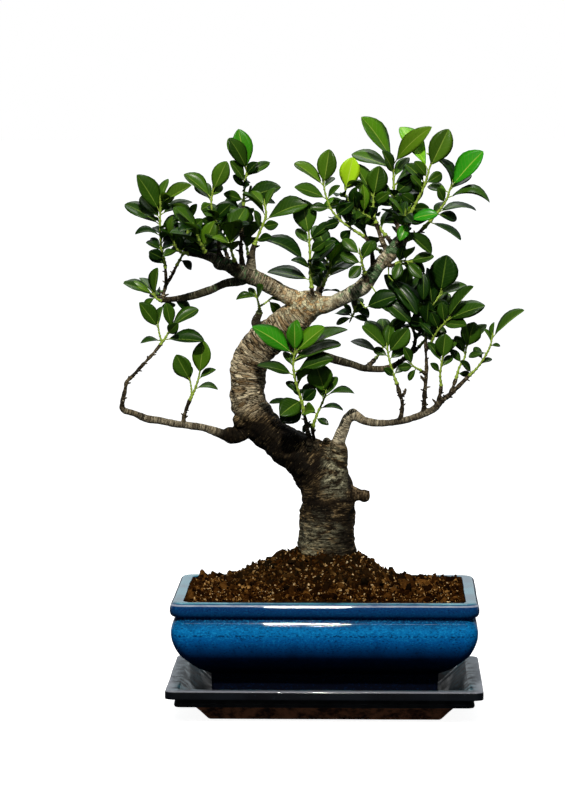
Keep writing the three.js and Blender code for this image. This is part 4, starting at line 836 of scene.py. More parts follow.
def bark_grain(f):
    """Places, noises and cells that the colours and the relief of the bark share."""
    spot = f.position()
    x, y, z = f.parts(spot)
    along, side, front, thick = (f.attribute(name) for name in ("along", "side", "front", "thick"))
    grain = f.vector(along, side, front)
    broad = f.noise(f.stretched(grain, (240, 42, 42)), 1, 4, 0.6)
    narrow = f.noise(f.stretched(grain, (560, 140, 140)), 1, 3, 0.6)
    fine = f.noise(f.stretched(grain, (1300, 330, 330)), 1, 3, 0.6)
    cloud = f.noise(spot, 26, 3)
    patch = f.noise(spot, 75, 4, 0.65)
    fork = f.zone("fork")
    bent = f.vector(along + 0.004 * (broad - 0.5), side + 0.006 * (patch - 0.5), front)
    loose = f.vector(x + 0.005 * (broad - 0.5), y, z + 0.005 * (narrow - 0.5))
    wrinkled, scabby = f.stretched(bent, (590, 115, 115)), f.stretched(loose, (330, 330, 430))
    seam = plate = 0
    for at, share in ((wrinkled, 1 - fork), (scabby, fork)):
        seam += share * f.step(0.11, 0.01, f.cells(at, "DISTANCE_TO_EDGE"))
        plate += share * f.parts(f.cells(at, output="Color"))[0]
    stout = f.step(0.0034, 0.0044, thick + 0.01 * f.step(0.2, 0.19, z))
    return SimpleNamespace(
        spot=spot, x=x, y=y, z=z, grain=grain, thick=thick, broad=broad, narrow=narrow, fine=fine,
        cloud=cloud, patch=patch, seam=seam, plate=plate, fork=fork, cream=f.zone("cream"),
        old=f.step(0.25, 0.234, z + 0.02 * (cloud - 0.5)) * stout * (1 - f.zone("right_low")),
        slim=f.step(0.0078, 0.0052, thick), pit=f.step(0.44, 0.34, narrow),
    )


def young_bark(f, g):
    """Tan plates, paler and more even on thin limbs."""
    plates = g.plate * 0.7 + g.patch * 0.3
    tan = f.blend(plates, 0.1, 0.9, (0.31, 0.2, 0.09), (1.0, 0.86, 0.58))
    pale = f.blend(g.patch, 0.3, 0.7, (0.32, 0.27, 0.175), (0.92, 0.84, 0.62))
    return f.mix(g.slim * 0.7, tan, pale)


def old_bark(f, g):
    """Nearly black, with tan streaks."""
    brown = f.blend(g.patch, 0.38, 0.62, (0.008, 0.005, 0.003), (0.06, 0.04, 0.018))
    streak = f.step(0.5, 0.6, g.narrow) * f.step(0.42, 0.56, g.patch)
    return f.mix(streak * 0.75, brown, (0.36, 0.25, 0.12))


def bark_zones(f, g):
    """Layers of colour for single parts of the wood; those for the branch behind the leaves, under the
    arm and low on the trunk's right are painted shade.
    """
    dark, dark_brown = (0.006, 0.008, 0.004), (0.005, 0.004, 0.003)
    arm = f.zone("arm") * (1 - g.slim)
    twig = f.step(0.0036, 0.0022, g.thick)
    # Low on the trunk's right, under the stump: painted shade
    heel_shade = 1.1 * f.step(0.002, 0.018, g.x + 0.012 * (g.cloud - 0.5)) * f.zone("heel_shade")
    y, z = (middle * MM for middle in STUMP_MIDDLE)
    year = f.noise(f.vector(((g.y - y) ** 2 + (g.z - z) ** 2) ** 0.5, 0.0, 0.0), 1400, 2)
    return [
        (0.85 * g.fork, f.blend(g.plate, 0.2, 0.8, (0.88, 0.56, 0.25), (1.0, 0.96, 0.62))),
        (0.8 * g.cream, f.blend(g.patch, 0.38, 0.62, (0.25, 0.2, 0.11), (1.0, 0.95, 0.68))),
        (0.5 * arm, f.blend(g.patch, 0.35, 0.6, (0.3, 0.24, 0.14), (1.0, 0.94, 0.7))),
        (0.9 * f.zone("outer"), f.mix(g.patch, dark, (0.1, 0.105, 0.055))),
        # Branch behind the leaves darkened: painted shade of the foliage over its grey-green bark
        (0.92 * f.zone("behind"), f.mix(g.patch, dark, (0.09, 0.1, 0.055))),
        (0.9 * f.zone("stub"), f.mix(g.patch, dark_brown, (0.07, 0.06, 0.035))),
        (twig, f.blend(g.patch, 0.4, 0.65, (0.025, 0.019, 0.011), (0.24, 0.19, 0.11))),
        (0.7 * f.zone("cut"), f.blend(g.patch, 0.42, 0.58, (0.055, 0.035, 0.017), (0.68, 0.5, 0.28))),
        # Near black under the arm on the old trunk and low on its right: painted shadow
        (0.8 * (f.zone("under") * g.old + heel_shade), (0.006, 0.005, 0.003)),
        (f.zone("sawn"), f.blend(year, 0.4, 0.6, (0.05, 0.025, 0.01), (0.36, 0.22, 0.1))),
    ]


def bark_growth(f, g):
    """Layers of lichen on the old trunk and of moss on the upper limbs."""
    foot = f.step(0.162, 0.138, g.z + 0.03 * (g.patch - 0.5))
    foot *= f.step(0.02, 0.0, g.x + 0.03 * (g.cloud - 0.5))
    crust = f.step(0.4, 0.6, f.noise(f.stretched(g.grain, (200, 90, 90)), 1, 5, 0.65))
    lichen = crust * g.old * (f.zone("shoulder") + 0.5 * foot)
    tuft = f.noise(g.spot, 160, 4, 0.7)
    for x, z in MOSS_CUSHIONS:
        away = ((g.x - x * MM) ** 2 + (g.z - z * MM) ** 2) ** 0.5
        tuft += 0.2 * f.step(0.011, 0.004, away)
    upper = f.step(0.325, 0.335, g.z) * (1 - g.fork) * f.step(0.0026, 0.004, g.thick)
    moss = f.step(0.54, 0.62, tuft) * upper
    return [
        (lichen * 0.95, (0.58, 0.56, 0.37)),
        (moss * 0.85, f.blend(g.patch, 0.4, 0.65, (0.015, 0.11, 0.03), (0.18, 0.45, 0.18))),
    ]


def bark_wrinkles(f, g):
    """Layers of dark creases, seams and pits, and of the pale ridges between them. Creases and seams lie
    in the hollows of the relief, and their dark is partly painted shade.
    """
    rough = 1 - 0.45 * g.fork - 0.35 * g.cream - 0.4 * g.slim * (1 - g.cream)
    # Creases and seams: partly the bark's own dark cracks, partly painted shade in the relief's hollows
    crease = f.step(0.05, 0.0, abs(g.broad - 0.5)) + 0.7 * f.step(0.045, 0.0, abs(g.narrow - 0.5))
    ridge = f.step(0.58, 0.68, g.fine) * f.step(0.5, 0.6, g.narrow)
    return [
        (crease * rough * 0.8, (0.01, 0.006, 0.003)),
        (g.seam * rough * (0.85 - 0.6 * g.old), (0.016, 0.01, 0.005)),
        (g.pit * rough * 0.8, (0.016, 0.01, 0.006)),
        (ridge * (0.9 - 0.3 * g.old), f.mix(g.old, (1.0, 0.9, 0.66), (0.5, 0.38, 0.2))),
    ]


def bark():
    """Fig bark: tan plates parted by dark cross wrinkles, dark and rough on the old trunk."""
    f = Finish("bark")
    g = bark_grain(f)
    colour = f.layered(
        young_bark(f, g),
        (g.old, old_bark(f, g)), *bark_zones(f, g), *bark_growth(f, g), *bark_wrinkles(f, g),
    )
    relief = abs(g.broad - 0.5) * 1.6 + abs(g.narrow - 0.5) * 1.2 + g.fine * 0.25 - g.seam * 0.35
    return f.surface(
        Base_Color=colour, Roughness=0.75 + 0.2 * g.pit, Normal=f.bump(relief, 0.0026),
        Specular_IOR_Level=0.1,
    )


def green_stem():
    """This year's stems: pale yellow-green at the tip, browner towards the wood."""
    f = Finish("green_stem")
    grain = f.noise(f.position(), 420, 4, 0.65)
    young = f.blend(grain, 0.35, 0.6, (0.36, 0.38, 0.04), (0.95, 0.88, 0.36))
    older = f.blend(grain, 0.4, 0.62, (0.06, 0.038, 0.012), (0.46, 0.34, 0.12))
    return f.surface(
        Base_Color=f.blend(f.attribute("age"), 0.4, 0.9, young, older), Roughness=0.55,
        Normal=f.bump(grain, 0.0004, 0.7), Specular_IOR_Level=0.2,
    )


def leaf_green():
    """Leathery leaf: glossy and dark above, pale midrib and side veins, dull and lighter below. Its tone
    carries painted light and shade, and one half is darkened as painted shade.
    """
    f = Finish("leaf_green")
    along, side, young = (f.attribute(name) for name in ("blade_along", "blade_side", "young"))
    under, lot = f.attribute("under"), f.attribute("lot")
    reach = abs(side)
    mottle = f.noise(f.position(), 140, 3)
    # Tone from the attribute young: each leaf's youth, together with the light and shade it gets,
    # painted in
    green = f.ramp(
        young + 0.1 * (mottle - 0.5) + 0.1 * (lot - 0.5),
        (0.0, (0.002, 0.009, 0.001)), (0.2, (0.008, 0.036, 0.002)), (0.42, (0.05, 0.135, 0.006)),
        (0.57, (0.12, 0.25, 0.008)), (0.68, (0.045, 0.225, 0.005)), (0.76, (0.02, 0.26, 0.005)),
        (0.88, (0.03, 0.32, 0.006)), (1.0, (0.42, 0.75, 0.012)),
    )
    # One half of each leaf darker, by a random amount: painted shade across the fold
    painted_shade_half = abs(f.step(-0.05, 0.05, side) - f.step(0.49, 0.51, lot)) * abs(lot - 0.5)
    slant = along * 9 - reach * 2.2
    comb = slant.maths("PINGPONG", slant, 0.5)
    vein = f.step(0.07, 0.0, comb) * f.step(0.02, 0.12, reach) * f.step(1.0, 0.75, reach)
    rib = f.step(0.07, 0.02, reach)
    pale = f.mix(young, (0.05, 0.15, 0.01), (0.6, 0.75, 0.12))
    colour = f.layered(
        green,
        (painted_shade_half * (1.25 - f.step(0.6, 0.72, young)), (0.003, 0.018, 0.001)),
        (vein * 0.14, pale),
        (rib * (0.85 - 0.45 * along), pale),
        (f.zone("stalk_feet") * 0.9, (0.045, 0.05, 0.022)),
        (under * 0.5, f.mix(young, (0.03, 0.1, 0.008), (0.3, 0.5, 0.02))),
    )
    relief = mottle * 0.2 - vein * 0.5 - rib * 0.8
    return f.surface(
        Base_Color=colour, Roughness=0.42 + 0.25 * under + 0.1 * lot, Normal=f.bump(relief, 0.0003, 0.6),
        Specular_IOR_Level=0.08, Coat_Weight=0.25 - 0.25 * under, Coat_Roughness=0.26,
    )


# Tray and pot

SECTION_STEPS = 4


def smooth_section(points):
    """A section with round turns through its points."""
    values = np.array(points, float)
    t = np.linspace(0, len(points) - 1, (len(points) - 1) * SECTION_STEPS + 1)
    return np.clip(blend_along(values, t), values.min(0), values.max(0))


CORNER_STEPS = 8
SIDE_STEPS = (72, 56)

# How fast corners get tighter inwards, and their least radius
CORNER_TIGHTER = 0.25
LEAST_CORNER = 2.5


def outline_ring(half, corner, height):
    """Rectangle with round corners, anticlockwise from above, with points along its sides too."""
    arcs = []
    for turn, (sx, sy) in enumerate(((1, 1), (-1, 1), (-1, -1), (1, -1))):
        angle = (turn + np.arange(CORNER_STEPS + 1) / CORNER_STEPS) * np.pi / 2
        x = sx * (half[0] - corner) + corner * np.cos(angle)
        y = sy * (half[1] - corner) + corner * np.sin(angle)
        arcs.append(np.stack([x, y], -1))
    ring = []
    for turn, arc in enumerate(arcs):
        count = SIDE_STEPS[turn % 2]
        step = (arcs[(turn + 1) % 4][0] - arc[-1]) / count
        ring += [arc, arc[-1] + step * np.arange(1, count)[:, None]]
    flat = np.concatenate(ring)
    return np.column_stack([flat, np.full(len(flat), height)])


def section_rings(half, corner, section, shrink=0):
    rings = []
    for inset, height in section:
        inward = inset + shrink
        radius = max(corner - inward * CORNER_TIGHTER, LEAST_CORNER)
        rings.append(outline_ring((half[0] - inward, half[1] - inward), radius, height))
    return np.array(rings)


def fired(vertices):
    """Slight unevenness of a hand-finished wall."""
    uneven = []
    for spot in map(Vector, vertices):
        uneven.append(noise.noise(spot / 45) + 0.12 * noise.noise(spot / 9))
    lift = WALL_UNEVEN * np.array(uneven)
    outward = unit(vertices * (1, 1, 0) + (1e-6, 0, 0))
    return vertices + outward * lift[:, None]


def dish(half, corner, outside, inside):
    section = np.concatenate([smooth_section(outside), smooth_section(inside)])
    vertices, faces = closed_rings(section_rings(half, corner, section))
    return fired(vertices) * MM, faces


def solid_mesh(name, vertices, faces):
    pile = Pile()
    pile.add(vertices, faces)
    return pile.mesh(name)


def make_tray():
    """The tray, with a value that is 0 on its outside and 1 within its rim."""
    vertices, faces = dish(TRAY_HALF, TRAY_CORNER, TRAY_OUTSIDE, TRAY_INSIDE)
    mesh = solid_mesh("drip_tray", vertices, faces)
    sections = [len(smooth_section(points)) for points in (TRAY_OUTSIDE, TRAY_INSIDE)]
    sides = (len(vertices) - 2) // sum(sections)
    inner = np.concatenate([np.repeat([0, 1], np.array(sections) * sides), [0, 1]])
    store(mesh, "inner", inner)
    place("drip_tray", mesh, [tray_glaze()], ["tray"])


def foot(sx, sy):
    """Low foot under one corner of the plinth, with its edges rounded off."""
    reach = POT_OUTSIDE[0][0] + 1
    x = sx * (POT_HALF[0] - reach - FOOT_HALF[0])
    y = sy * (POT_HALF[1] - reach - FOOT_HALF[1])
    low = TRAY_FLOOR + GAP
    section = ((0.9, low), (0.3, low + 0.2), (0, low + 0.8), (0, PLINTH_BOTTOM + FOOT_OVERLAP))
    rings = []
    for inset, height in section:
        ring = outline_ring((FOOT_HALF[0] - inset, FOOT_HALF[1] - inset), FOOT_CORNER, height)
        rings.append(ring + (x, y, 0))
    vertices, faces = closed_rings(np.array(rings))
    return vertices * MM, faces


def drain_tool(x):
    """Round cutter for a drain hole."""
    angle = 2 * np.pi * np.arange(DRAIN_SIDES) / DRAIN_SIDES
    ring = np.stack([x + DRAIN_RADIUS * np.cos(angle), DRAIN_RADIUS * np.sin(angle), 0 * angle], -1)
    heights = (PLINTH_BOTTOM - CUT_PAST, POT_FLOOR + CUT_PAST)
    vertices, faces = closed_rings(np.array([ring + (0, 0, height) for height in heights]))
    return vertices * MM, faces


def helper(name, shapes):
    """Object that only serves a boolean cut or join."""
    pile = Pile()
    for shape in shapes:
        pile.add(*shape)
    return linked(name, pile.mesh(name))


def make_pot():
    feet = helper("feet", [foot(sx, sy) for sx in (-1, 1) for sy in (-1, 1)])
    drains = helper("drains", [drain_tool(x) for x in (-DRAIN_X, DRAIN_X)])
    mesh = finished(
        solid_mesh("glazed_pot", *dish(POT_HALF, POT_CORNER, POT_OUTSIDE, POT_INSIDE)),
        ("BOOLEAN", {"operation": "UNION", "object": feet}),
        ("BOOLEAN", {"operation": "DIFFERENCE", "object": drains}),
    )
    for tool in (feet, drains):
        bpy.data.objects.remove(tool)
    place("glazed_pot", mesh, [pot_glaze()], ["pot"])


# Soil

# Rings over the surface, and how far above it the crumbs are strewn
SOIL_RINGS = 46
CRUMB_LIFT = 0.4

# Crumbs as (name, how many to a square millimetre, size, shade of the palest, seed)
CRUMBS = [
    ("crumbs_fine", 0.24, 1.0, 1.0, 3), ("crumbs_coarse", 0.08, 1.8, 0.9, 8),
    ("crumbs_large", 0.014, 3.8, 0.68, 21),
]


def soil_height(x, y):
    wide = np.where(x < 0, MOUND_LEFT, MOUND_RIGHT)
    mound = MOUND_HEIGHT * np.exp(-((x / wide) ** 2) - (y / MOUND_DEEP) ** 2)
    uneven = np.sin(x * 0.31 + y * 0.17) + np.sin(x * 0.13 - y * 0.37 + 2) + np.sin(x * 0.55 + y * 0.49)
    return SOIL_LEVEL + mound + SOIL_WAVES * uneven


def soil_rings():
    """Rings up the walls of the pot, then inwards over the surface."""
    walls = POT_INSIDE[:0:-1]
    section = [(walls[0][0], POT_FLOOR + GAP), *walls[1:-1]]
    rings = list(section_rings(POT_HALF, POT_CORNER, section, GAP))
    edge = section_rings(POT_HALF, POT_CORNER, [(POT_INSIDE[1][0], 0)], GAP)[0]
    for share in np.linspace(1, 0, SOIL_RINGS, endpoint=False) ** 0.9:
        ring = edge * (share, share, 0)
        rough = [noise.fractal(Vector(v) / 9, 0.7, 2, 4) for v in ring]
        ring[:, 2] = soil_height(ring[:, 0], ring[:, 1]) + SOIL_LUMPS * np.array(rough)
        rings.append(ring)
    return np.array(rings)


def crumb_tree(name, finish):
    """Crumbs strewn over a mesh: picked points, an uneven pebble on each, all made real."""
    tree = bpy.data.node_groups.new(name, "GeometryNodeTree")
    node = partial(add_node, tree)
    interface = tree.interface
    interface.new_socket("Geometry", in_out="INPUT", socket_type="NodeSocketGeometry")
    for label, kind in (("Density", "Float"), ("Size", "Float"), ("Palest", "Float"), ("Seed", "Int")):
        interface.new_socket(label, in_out="INPUT", socket_type="NodeSocket" + kind)
    interface.new_socket("Geometry", in_out="OUTPUT", socket_type="NodeSocketGeometry")

    def chance(kind, low, high, seed):
        """A random vector or number for each point, from low to high."""
        vector = kind == "FLOAT_VECTOR"
        first = 0 if vector else 2
        values = {first: low, first + 1: high, "Seed": seed}
        return node("FunctionNodeRandomValue", {"data_type": kind}, values, 0 if vector else 1)

    given = tree.nodes.new("NodeGroupInput").outputs
    points = node(
        "GeometryNodeDistributePointsOnFaces", {"distribute_method": "RANDOM"},
        {"Mesh": given["Geometry"], "Density": given["Density"], "Seed": given["Seed"]},
    )
    pebble = node("GeometryNodeMeshIcoSphere", values={"Radius": 1.0, "Subdivisions": 1})
    turn = chance("FLOAT_VECTOR", (0, 0, 0), (6.3, 6.3, 6.3), 2)
    spread = chance("FLOAT_VECTOR", (0.3, 0.35, 0.25), (1.8, 1.1, 0.8), 4)
    weight = chance("FLOAT", 0.45, 1.25, 6)
    size = node("ShaderNodeMath", {"operation": "MULTIPLY"}, {0: given["Size"], 1: weight})
    scale = node("ShaderNodeVectorMath", {"operation": "SCALE"}, {0: spread, "Scale": size})
    strewn = node(
        "GeometryNodeInstanceOnPoints",
        values={"Points": points, "Instance": pebble, "Rotation": turn, "Scale": scale},
    )
    marked = node(
        "GeometryNodeStoreNamedAttribute", {"data_type": "FLOAT", "domain": "INSTANCE"},
        {"Geometry": strewn, "Name": "lot", "Value": chance("FLOAT", 0.0, given["Palest"], 8)},
    )
    real = node("GeometryNodeRealizeInstances", values={"Geometry": marked})
    dressed = node("GeometryNodeSetMaterial", values={"Geometry": real, "Material": finish})
    node("NodeGroupOutput", values={"Geometry": dressed})
    return tree


def grown_over(mesh, tree, **sizes):
    """The plain mesh that a node tree makes on another mesh."""
    holder = linked("holder", mesh)
    modifier = holder.modifiers.new("Growth", "NODES")
    modifier.node_group = tree
    for item in tree.interface.items_tree:
        if item.in_out == "INPUT" and item.name in sizes:
            modifier[item.identifier] = sizes[item.name]
    return evaluated(holder)


def make_soil():
    rings = soil_rings()
    vertices, faces = closed_rings(rings)
    place("soil_bed", solid_mesh("soil_bed", vertices * MM, faces), [soil_earth()], ["soil"])
    top = rings[2 - SOIL_RINGS:] + (0, 0, CRUMB_LIFT)
    surface = solid_mesh("surface", top.reshape(-1, 3) * MM, ring_faces(len(top), top.shape[1]))
    finish = soil_crumb()
    tree = crumb_tree("crumbs", finish)
    for name, per_square_mm, size, palest, seed in CRUMBS:
        density = per_square_mm / MM ** 2
        mesh = grown_over(surface, tree, Density=density, Size=size * MM, Palest=palest, Seed=seed)
        place(name, mesh, [finish])


def make_drain_meshes():
    finish = mesh_plastic()
    for node in ("drain_mesh_left", "drain_mesh_right"):
        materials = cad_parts[node].data.materials
        materials.clear()
        materials.append(finish)


# Wood

# Wood thinner than this is a twig; a limb that ends thicker than this is sawn flat
TWIG_RADIUS = 2.2 * MM
SAWN_RADIUS = 4 * MM
VOXEL = 0.95 * MM
TRUNK_SIDES = 28
LIMB_SIDES = 18
LIMB_RINGS = 8
TWIG_SIDES = 10
TWIG_RINGS = 10

# In steps of a path: shortest limb, shortest twig, how far a twig starts inside its limb, the
# distance to its first spur and then from spur to spur
SHORTEST_LIMB = 0.3
SHORTEST_TWIG = 0.1
TWIG_OVERLAP = 0.4
FIRST_SPUR = 0.3
SPUR_SPACING = 0.35

# Turns at which a dome has its rings
DOME_TURNS = (0.5, 1.0, 1.35)

# Grain: metres between the paths' lengths laid end to end, samples to a step of a path, and how
# far from a path wood can be, in its largest radii
GRAIN_APART = 0.05
GRAIN_SAMPLES = 14
GRAIN_REACH = 1.6


def lobed(angle, t):
    """Slow swellings round the old trunk."""
    return (
        1 + 0.035 * np.cos(2 * angle + 1.3 + 0.5 * t) + 0.03 * np.cos(3 * angle - 0.7 * t)
        + 0.018 * np.cos(5 * angle + 1.9 * t)
    )


def woody_paths():
    """Every path of the wood as (path, where it ends, swell)."""
    paths = [(path_of(TRUNK), None, lobed)]
    paths += [(path_of(rows), None, None) for rows in LIMBS.values()]
    paths += [(path_of(rows), green, None) for green, rows, *_ in SHOOTS.values()]
    return [(path, path.last if end is None else end, swell) for path, end, swell in paths]


def thin_from(path, end):
    """Where a path gets too thin for the fused wood, or its end."""
    t = np.linspace(0, end, 12 * max(round(end), 1) + 1)
    thin = np.flatnonzero(path.radius(t) < TWIG_RADIUS)
    return t[thin[0]] if len(thin) else end


def knob(x, z, y, radius):
    ball = bmesh.new()
    bmesh.ops.create_icosphere(ball, subdivisions=3, radius=radius * MM)
    vertices = np.array([v.co for v in ball.verts]) + seen(x, z, y)
    faces = [[v.index for v in face.verts] for face in ball.faces]
    ball.free()
    return vertices, faces


def domed(rings, path, t):
    """The rings of a tube with those of a dome added at each end."""
    caps = []
    for index, sign in ((0, -1), (-1, 1)):
        centre = rings[index].mean(0)
        out = sign * path.direction(t[index]) * path.radius(t[index])
        cap = [centre + (rings[index] - centre) * math.cos(a) + out * math.sin(a) for a in DOME_TURNS]
        caps.append(cap if sign > 0 else cap[::-1])
    return np.concatenate([caps[0], rings, caps[1]])


def fused_wood():
    """Trunk and limbs as one skin."""
    pile = Pile()
    for path, end, swell in woody_paths():
        stop = thin_from(path, end)
        if stop < SHORTEST_LIMB:
            continue
        sides = TRUNK_SIDES if swell else LIMB_SIDES
        t, rings = tube(path, sides, LIMB_RINGS, swell, 0, stop)
        pile.add(*closed_rings(rings if path.radius(stop) > SAWN_RADIUS else domed(rings, path, t)))
    for x, z, y, radius in KNOBS:
        pile.add(*knob(x, z, y, radius))
    return finished(
        pile.mesh("trunk"),
        ("REMESH", {"mode": "VOXEL", "voxel_size": VOXEL, "adaptivity": 0.0}),
        ("SMOOTH", {"factor": 0.5, "iterations": 3}),
    )


def grain_of(places):
    """For each place on the wood: its distance along its path and its offset from the path's middle."""
    best = np.full(len(places), np.inf)
    along, side, front, thick = (np.zeros(len(places)) for _ in range(4))
    started = 0.0
    for path, end, _ in woody_paths():
        t = np.linspace(0, end, max(int(end * GRAIN_SAMPLES), 8))
        line, radius = path.at(t), path.radius(t)
        reach = radius.max() * GRAIN_REACH
        near = np.flatnonzero(((places > line.min(0) - reach) & (places < line.max(0) + reach)).all(1))
        length = np.concatenate([[0], np.cumsum(np.linalg.norm(np.diff(line, axis=0), axis=1))])
        if len(near):
            gap = np.linalg.norm(places[near][:, None] - line[None], axis=2)
            closest = np.argmin(gap - radius, axis=1)
            row = np.arange(len(near))
            misfit = np.abs(gap[row, closest] - radius[closest])
            better = misfit < best[near]
            chosen, spot = near[better], closest[better]
            offset = places[chosen] - line[spot]
            best[chosen] = misfit[better]
            along[chosen] = started + length[spot] + (offset * path.direction(t[spot])).sum(1)
            side[chosen], front[chosen] = offset[:, 0], offset[:, 1]
            thick[chosen] = radius[spot]
        started += length[-1] + GRAIN_APART
    return {"along": along, "side": side, "front": front, "thick": thick}


def store_grain(mesh, grain):
    for name, values in grain.items():
        store(mesh, name, values)


def folds_of(grain, places):
    """Cross folds and small lumps of the bark, one number for each place."""
    folds = []
    for a, s, f, spot in zip(grain["along"], grain["side"], grain["front"], places):
        broad = noise.noise(Vector((a * 230, s * 55, f * 55)))
        narrow = noise.noise(Vector((a * 420, s * 130, f * 130)))
        lump = noise.fractal(Vector(spot) * 60, 0.7, 2, 3)
        folds.append(0.9 * (abs(broad) + 0.6 * narrow) + 1.2 * lump)
    return np.array(folds)


def make_trunk(finish):
    """The fused wood, its surface raised in folds and swellings that suit its thickness."""
    mesh = fused_wood()
    places, outward = coordinates(mesh), normals(mesh)
    grain = grain_of(places)
    fold_depth = np.clip(0.06 * grain["thick"], 0.2 * MM, 0.9 * MM)
    swell_depth = np.clip(0.1 * grain["thick"], 0.2 * MM, 1.8 * MM)
    swell = [noise.noise(spot * 70) + 0.7 * noise.noise(spot * 170) for spot in map(Vector, places)]
    raised = fold_depth * folds_of(grain, places) + swell_depth * np.array(swell)
    move_to(mesh, places + outward * raised[:, None])
    store_grain(mesh, grain)
    mesh.polygons.foreach_set("use_smooth", [True] * len(mesh.polygons))
    place("trunk", mesh, [finish], ["wood"])


def add_spur(pile, spot, way, radius, reach):
    """Short blunt stub of an old leaf or bud on a twig."""
    points = [spot, spot + way * reach * 0.6, spot + way * reach]
    small_tube(pile, points, radius * np.array([1, 0.75, 0.4]), 6)


def add_twig(pile, path, start, end):
    """A knobbly closed tube."""
    t, rings = tube(path, TWIG_SIDES, TWIG_RINGS, None, start, end)
    middle = rings.mean(1, keepdims=True)
    uneven = np.array([noise.noise(Vector((spot * 260).tolist())) for spot in middle[:, 0]])
    rings = middle + (rings - middle) * (0.95 + 0.45 * uneven)[:, None, None]
    pile.add(*closed_rings(domed(rings, path, t)))


def make_twigs(finish):
    """Thin wood beyond the fused limbs, with spurs."""
    dice = np.random.default_rng(5)
    pile = Pile()
    for path, end, _ in woody_paths():
        thin = thin_from(path, end)
        if end - thin < SHORTEST_TWIG:
            continue
        start = max(thin - TWIG_OVERLAP, 0)
        add_twig(pile, path, start, end)
        for spot in np.arange(start + FIRST_SPUR, end, SPUR_SPACING):
            centre, radius, ahead = path.at(spot), path.radius(spot), path.direction(spot)
            way = unit(np.cross(ahead, dice.normal(size=3)) + 0.6 * ahead)
            reach = radius * dice.uniform(0.9, 2.2)
            add_spur(pile, centre + way * radius * 0.5, way, 0.55 * radius, reach)
    mesh = pile.mesh("twigs")
    store_grain(mesh, grain_of(coordinates(mesh)))
    place("twigs", mesh, [finish], ["wood"])


# Leaves

# Where a blade has its points: along it as shares of its length, across it as shares of its
# half width
STATIONS = np.array([0.12, 0.2, 0.31, 0.44, 0.57, 0.7, 0.82, 0.91, 0.97, 1.0])
ACROSS = np.array([-1, -0.55, 0, 0.55, 1])
LEAF_THICK = 0.42 * MM
BUD_LENGTH = 5.5
STEM_SIDES = 8
STEM_RINGS = 16
STEM_SLIMMER = 0.3

# Materials of a piece of foliage
BLADE, STEM = 0, 1

# Leaves in the thickets: least distance between two on one stem, ranges of length, of width to
# length and of tone, and what part of them is bright. Their dark tones are painted shade inside
# the foliage, the bright ones painted light
LEAF_SPACING = 2.2
INNER_LENGTHS = (13, 25)
INNER_WIDTHS = (0.42, 0.56)
INNER_TONES = (0.03, 0.3)
INNER_BRIGHT_TONES = (0.42, 0.6)
INNER_BRIGHT = 0.18

# How near a leaf has to be to its listed tip or spot
TIP_WITHIN = 1.5
SPOT_WITHIN = 6.5

# Leaves get brighter within this distance of a shoot's end, and over these heights; the brightening with
# height is painted light from above
NEAR_END = 30
BRIGHTER_HEIGHTS = (340, 440)

# How far apart stems are sampled, and the wood that holds hanging leaves, in steps of a path
STEM_SAMPLE = 0.12
WOOD_SAMPLE = 0.1

# Solids: how exact the length of a rim is, how alike the rims of one leaf run, how many of them
# a leaf can have, and the least length of a leaf in its widths
RIM_EXACT = 0.012
RIMS_ALIKE = 0.99999
RIMS_LEAST, RIMS_MOST = 4, 7
LEAST_SLENDER = 1.2

# From which span each leaf draws its fold, the height of its waves and so on
LEAF_SPANS = {
    "fold": (0.2, 0.6), "wave": (0.01, 0.06), "phase": (0, 6.28), "twist": (-0.35, 0.35),
    "droop": (-0.2, 0.6), "lot": (0, 1),
}

# Thick parts of the foliage as (x, z, half width, half height, how many leaves are tried)
THICKETS = [
    (-97, 384, 36, 22, 90), (-129, 387, 14, 24, 30), (-68, 404, 16, 18, 24), (0, 351, 15, 20, 50),
    (46, 404, 36, 22, 80), (14, 394, 16, 14, 20), (56, 322, 28, 24, 60), (92, 311, 28, 18, 44),
    (-15, 260, 17, 24, 40), (-132, 322, 14, 12, 12), (20, 310, 14, 10, 10),
]

# Single leaves as (x and z at the stem, x and z of the tip, mm deeper at the tip, width, tone); the tone
# holds painted light and shade
SINGLE_LEAVES = [
    (-140, 329, -162, 341.6, 0, 7.5, 0.5), (-115.5, 358.8, -107.5, 351.6, 6, 7, 0.2),
    (-96, 326, -108.8, 318, 8, 9, 0.15), (-130.4, 354.8, -141.2, 364, 4, 10, 0.16),
    (-60.8, 430.8, -77.6, 456, -12, 13.5, 0.24), (-58.6, 425, -45, 436.4, 6, 7, 0.3),
    (-60, 427, -54.6, 437.2, -4, 8, 0.2), (-8.8, 375.6, 7.2, 389.2, -6, 9, 0.2),
    (-8, 359.6, 8, 374.8, -8, 8, 0.25), (31.5, 414.8, 20, 422, 4, 7.5, 0.5),
    (57.6, 418, 78.4, 431.8, -6, 9, 0.25), (108.8, 310, 126.4, 322, -4, 11, 0.22),
    (-19.2, 246.8, -36.8, 234.8, -18, 17, 0.36), (10, 356, 5, 378, -2, 14.5, 0.64),
    (-22.5, 285, -25.6, 310.3, -4, 13, 0.66),
]

# Leaves that hang from the wood on a thin stalk, as (x, z, y of the base, x, z, y of the tip,
# width, tone); the tone holds painted light and shade
HANGING_LEAVES = [
    (66.4, 391, -22, 89, 396, -26, 11, 0.78), (65, 389, -38, 58.4, 374.5, -45, 9, 0.74),
    (31.2, 320.9, -6, 57.6, 331.1, -14, 16, 0.16), (42, 329.3, -10, 67.2, 309.5, -17, 15, 0.19),
    (49.8, 346.1, -9, 72.5, 315.5, -20, 12.5, 0.17), (59.4, 357.4, -14, 78.6, 349.7, -18, 12, 0.15),
    (77.4, 352.6, -16, 77.4, 327.4, -19, 10, 0.2),
]

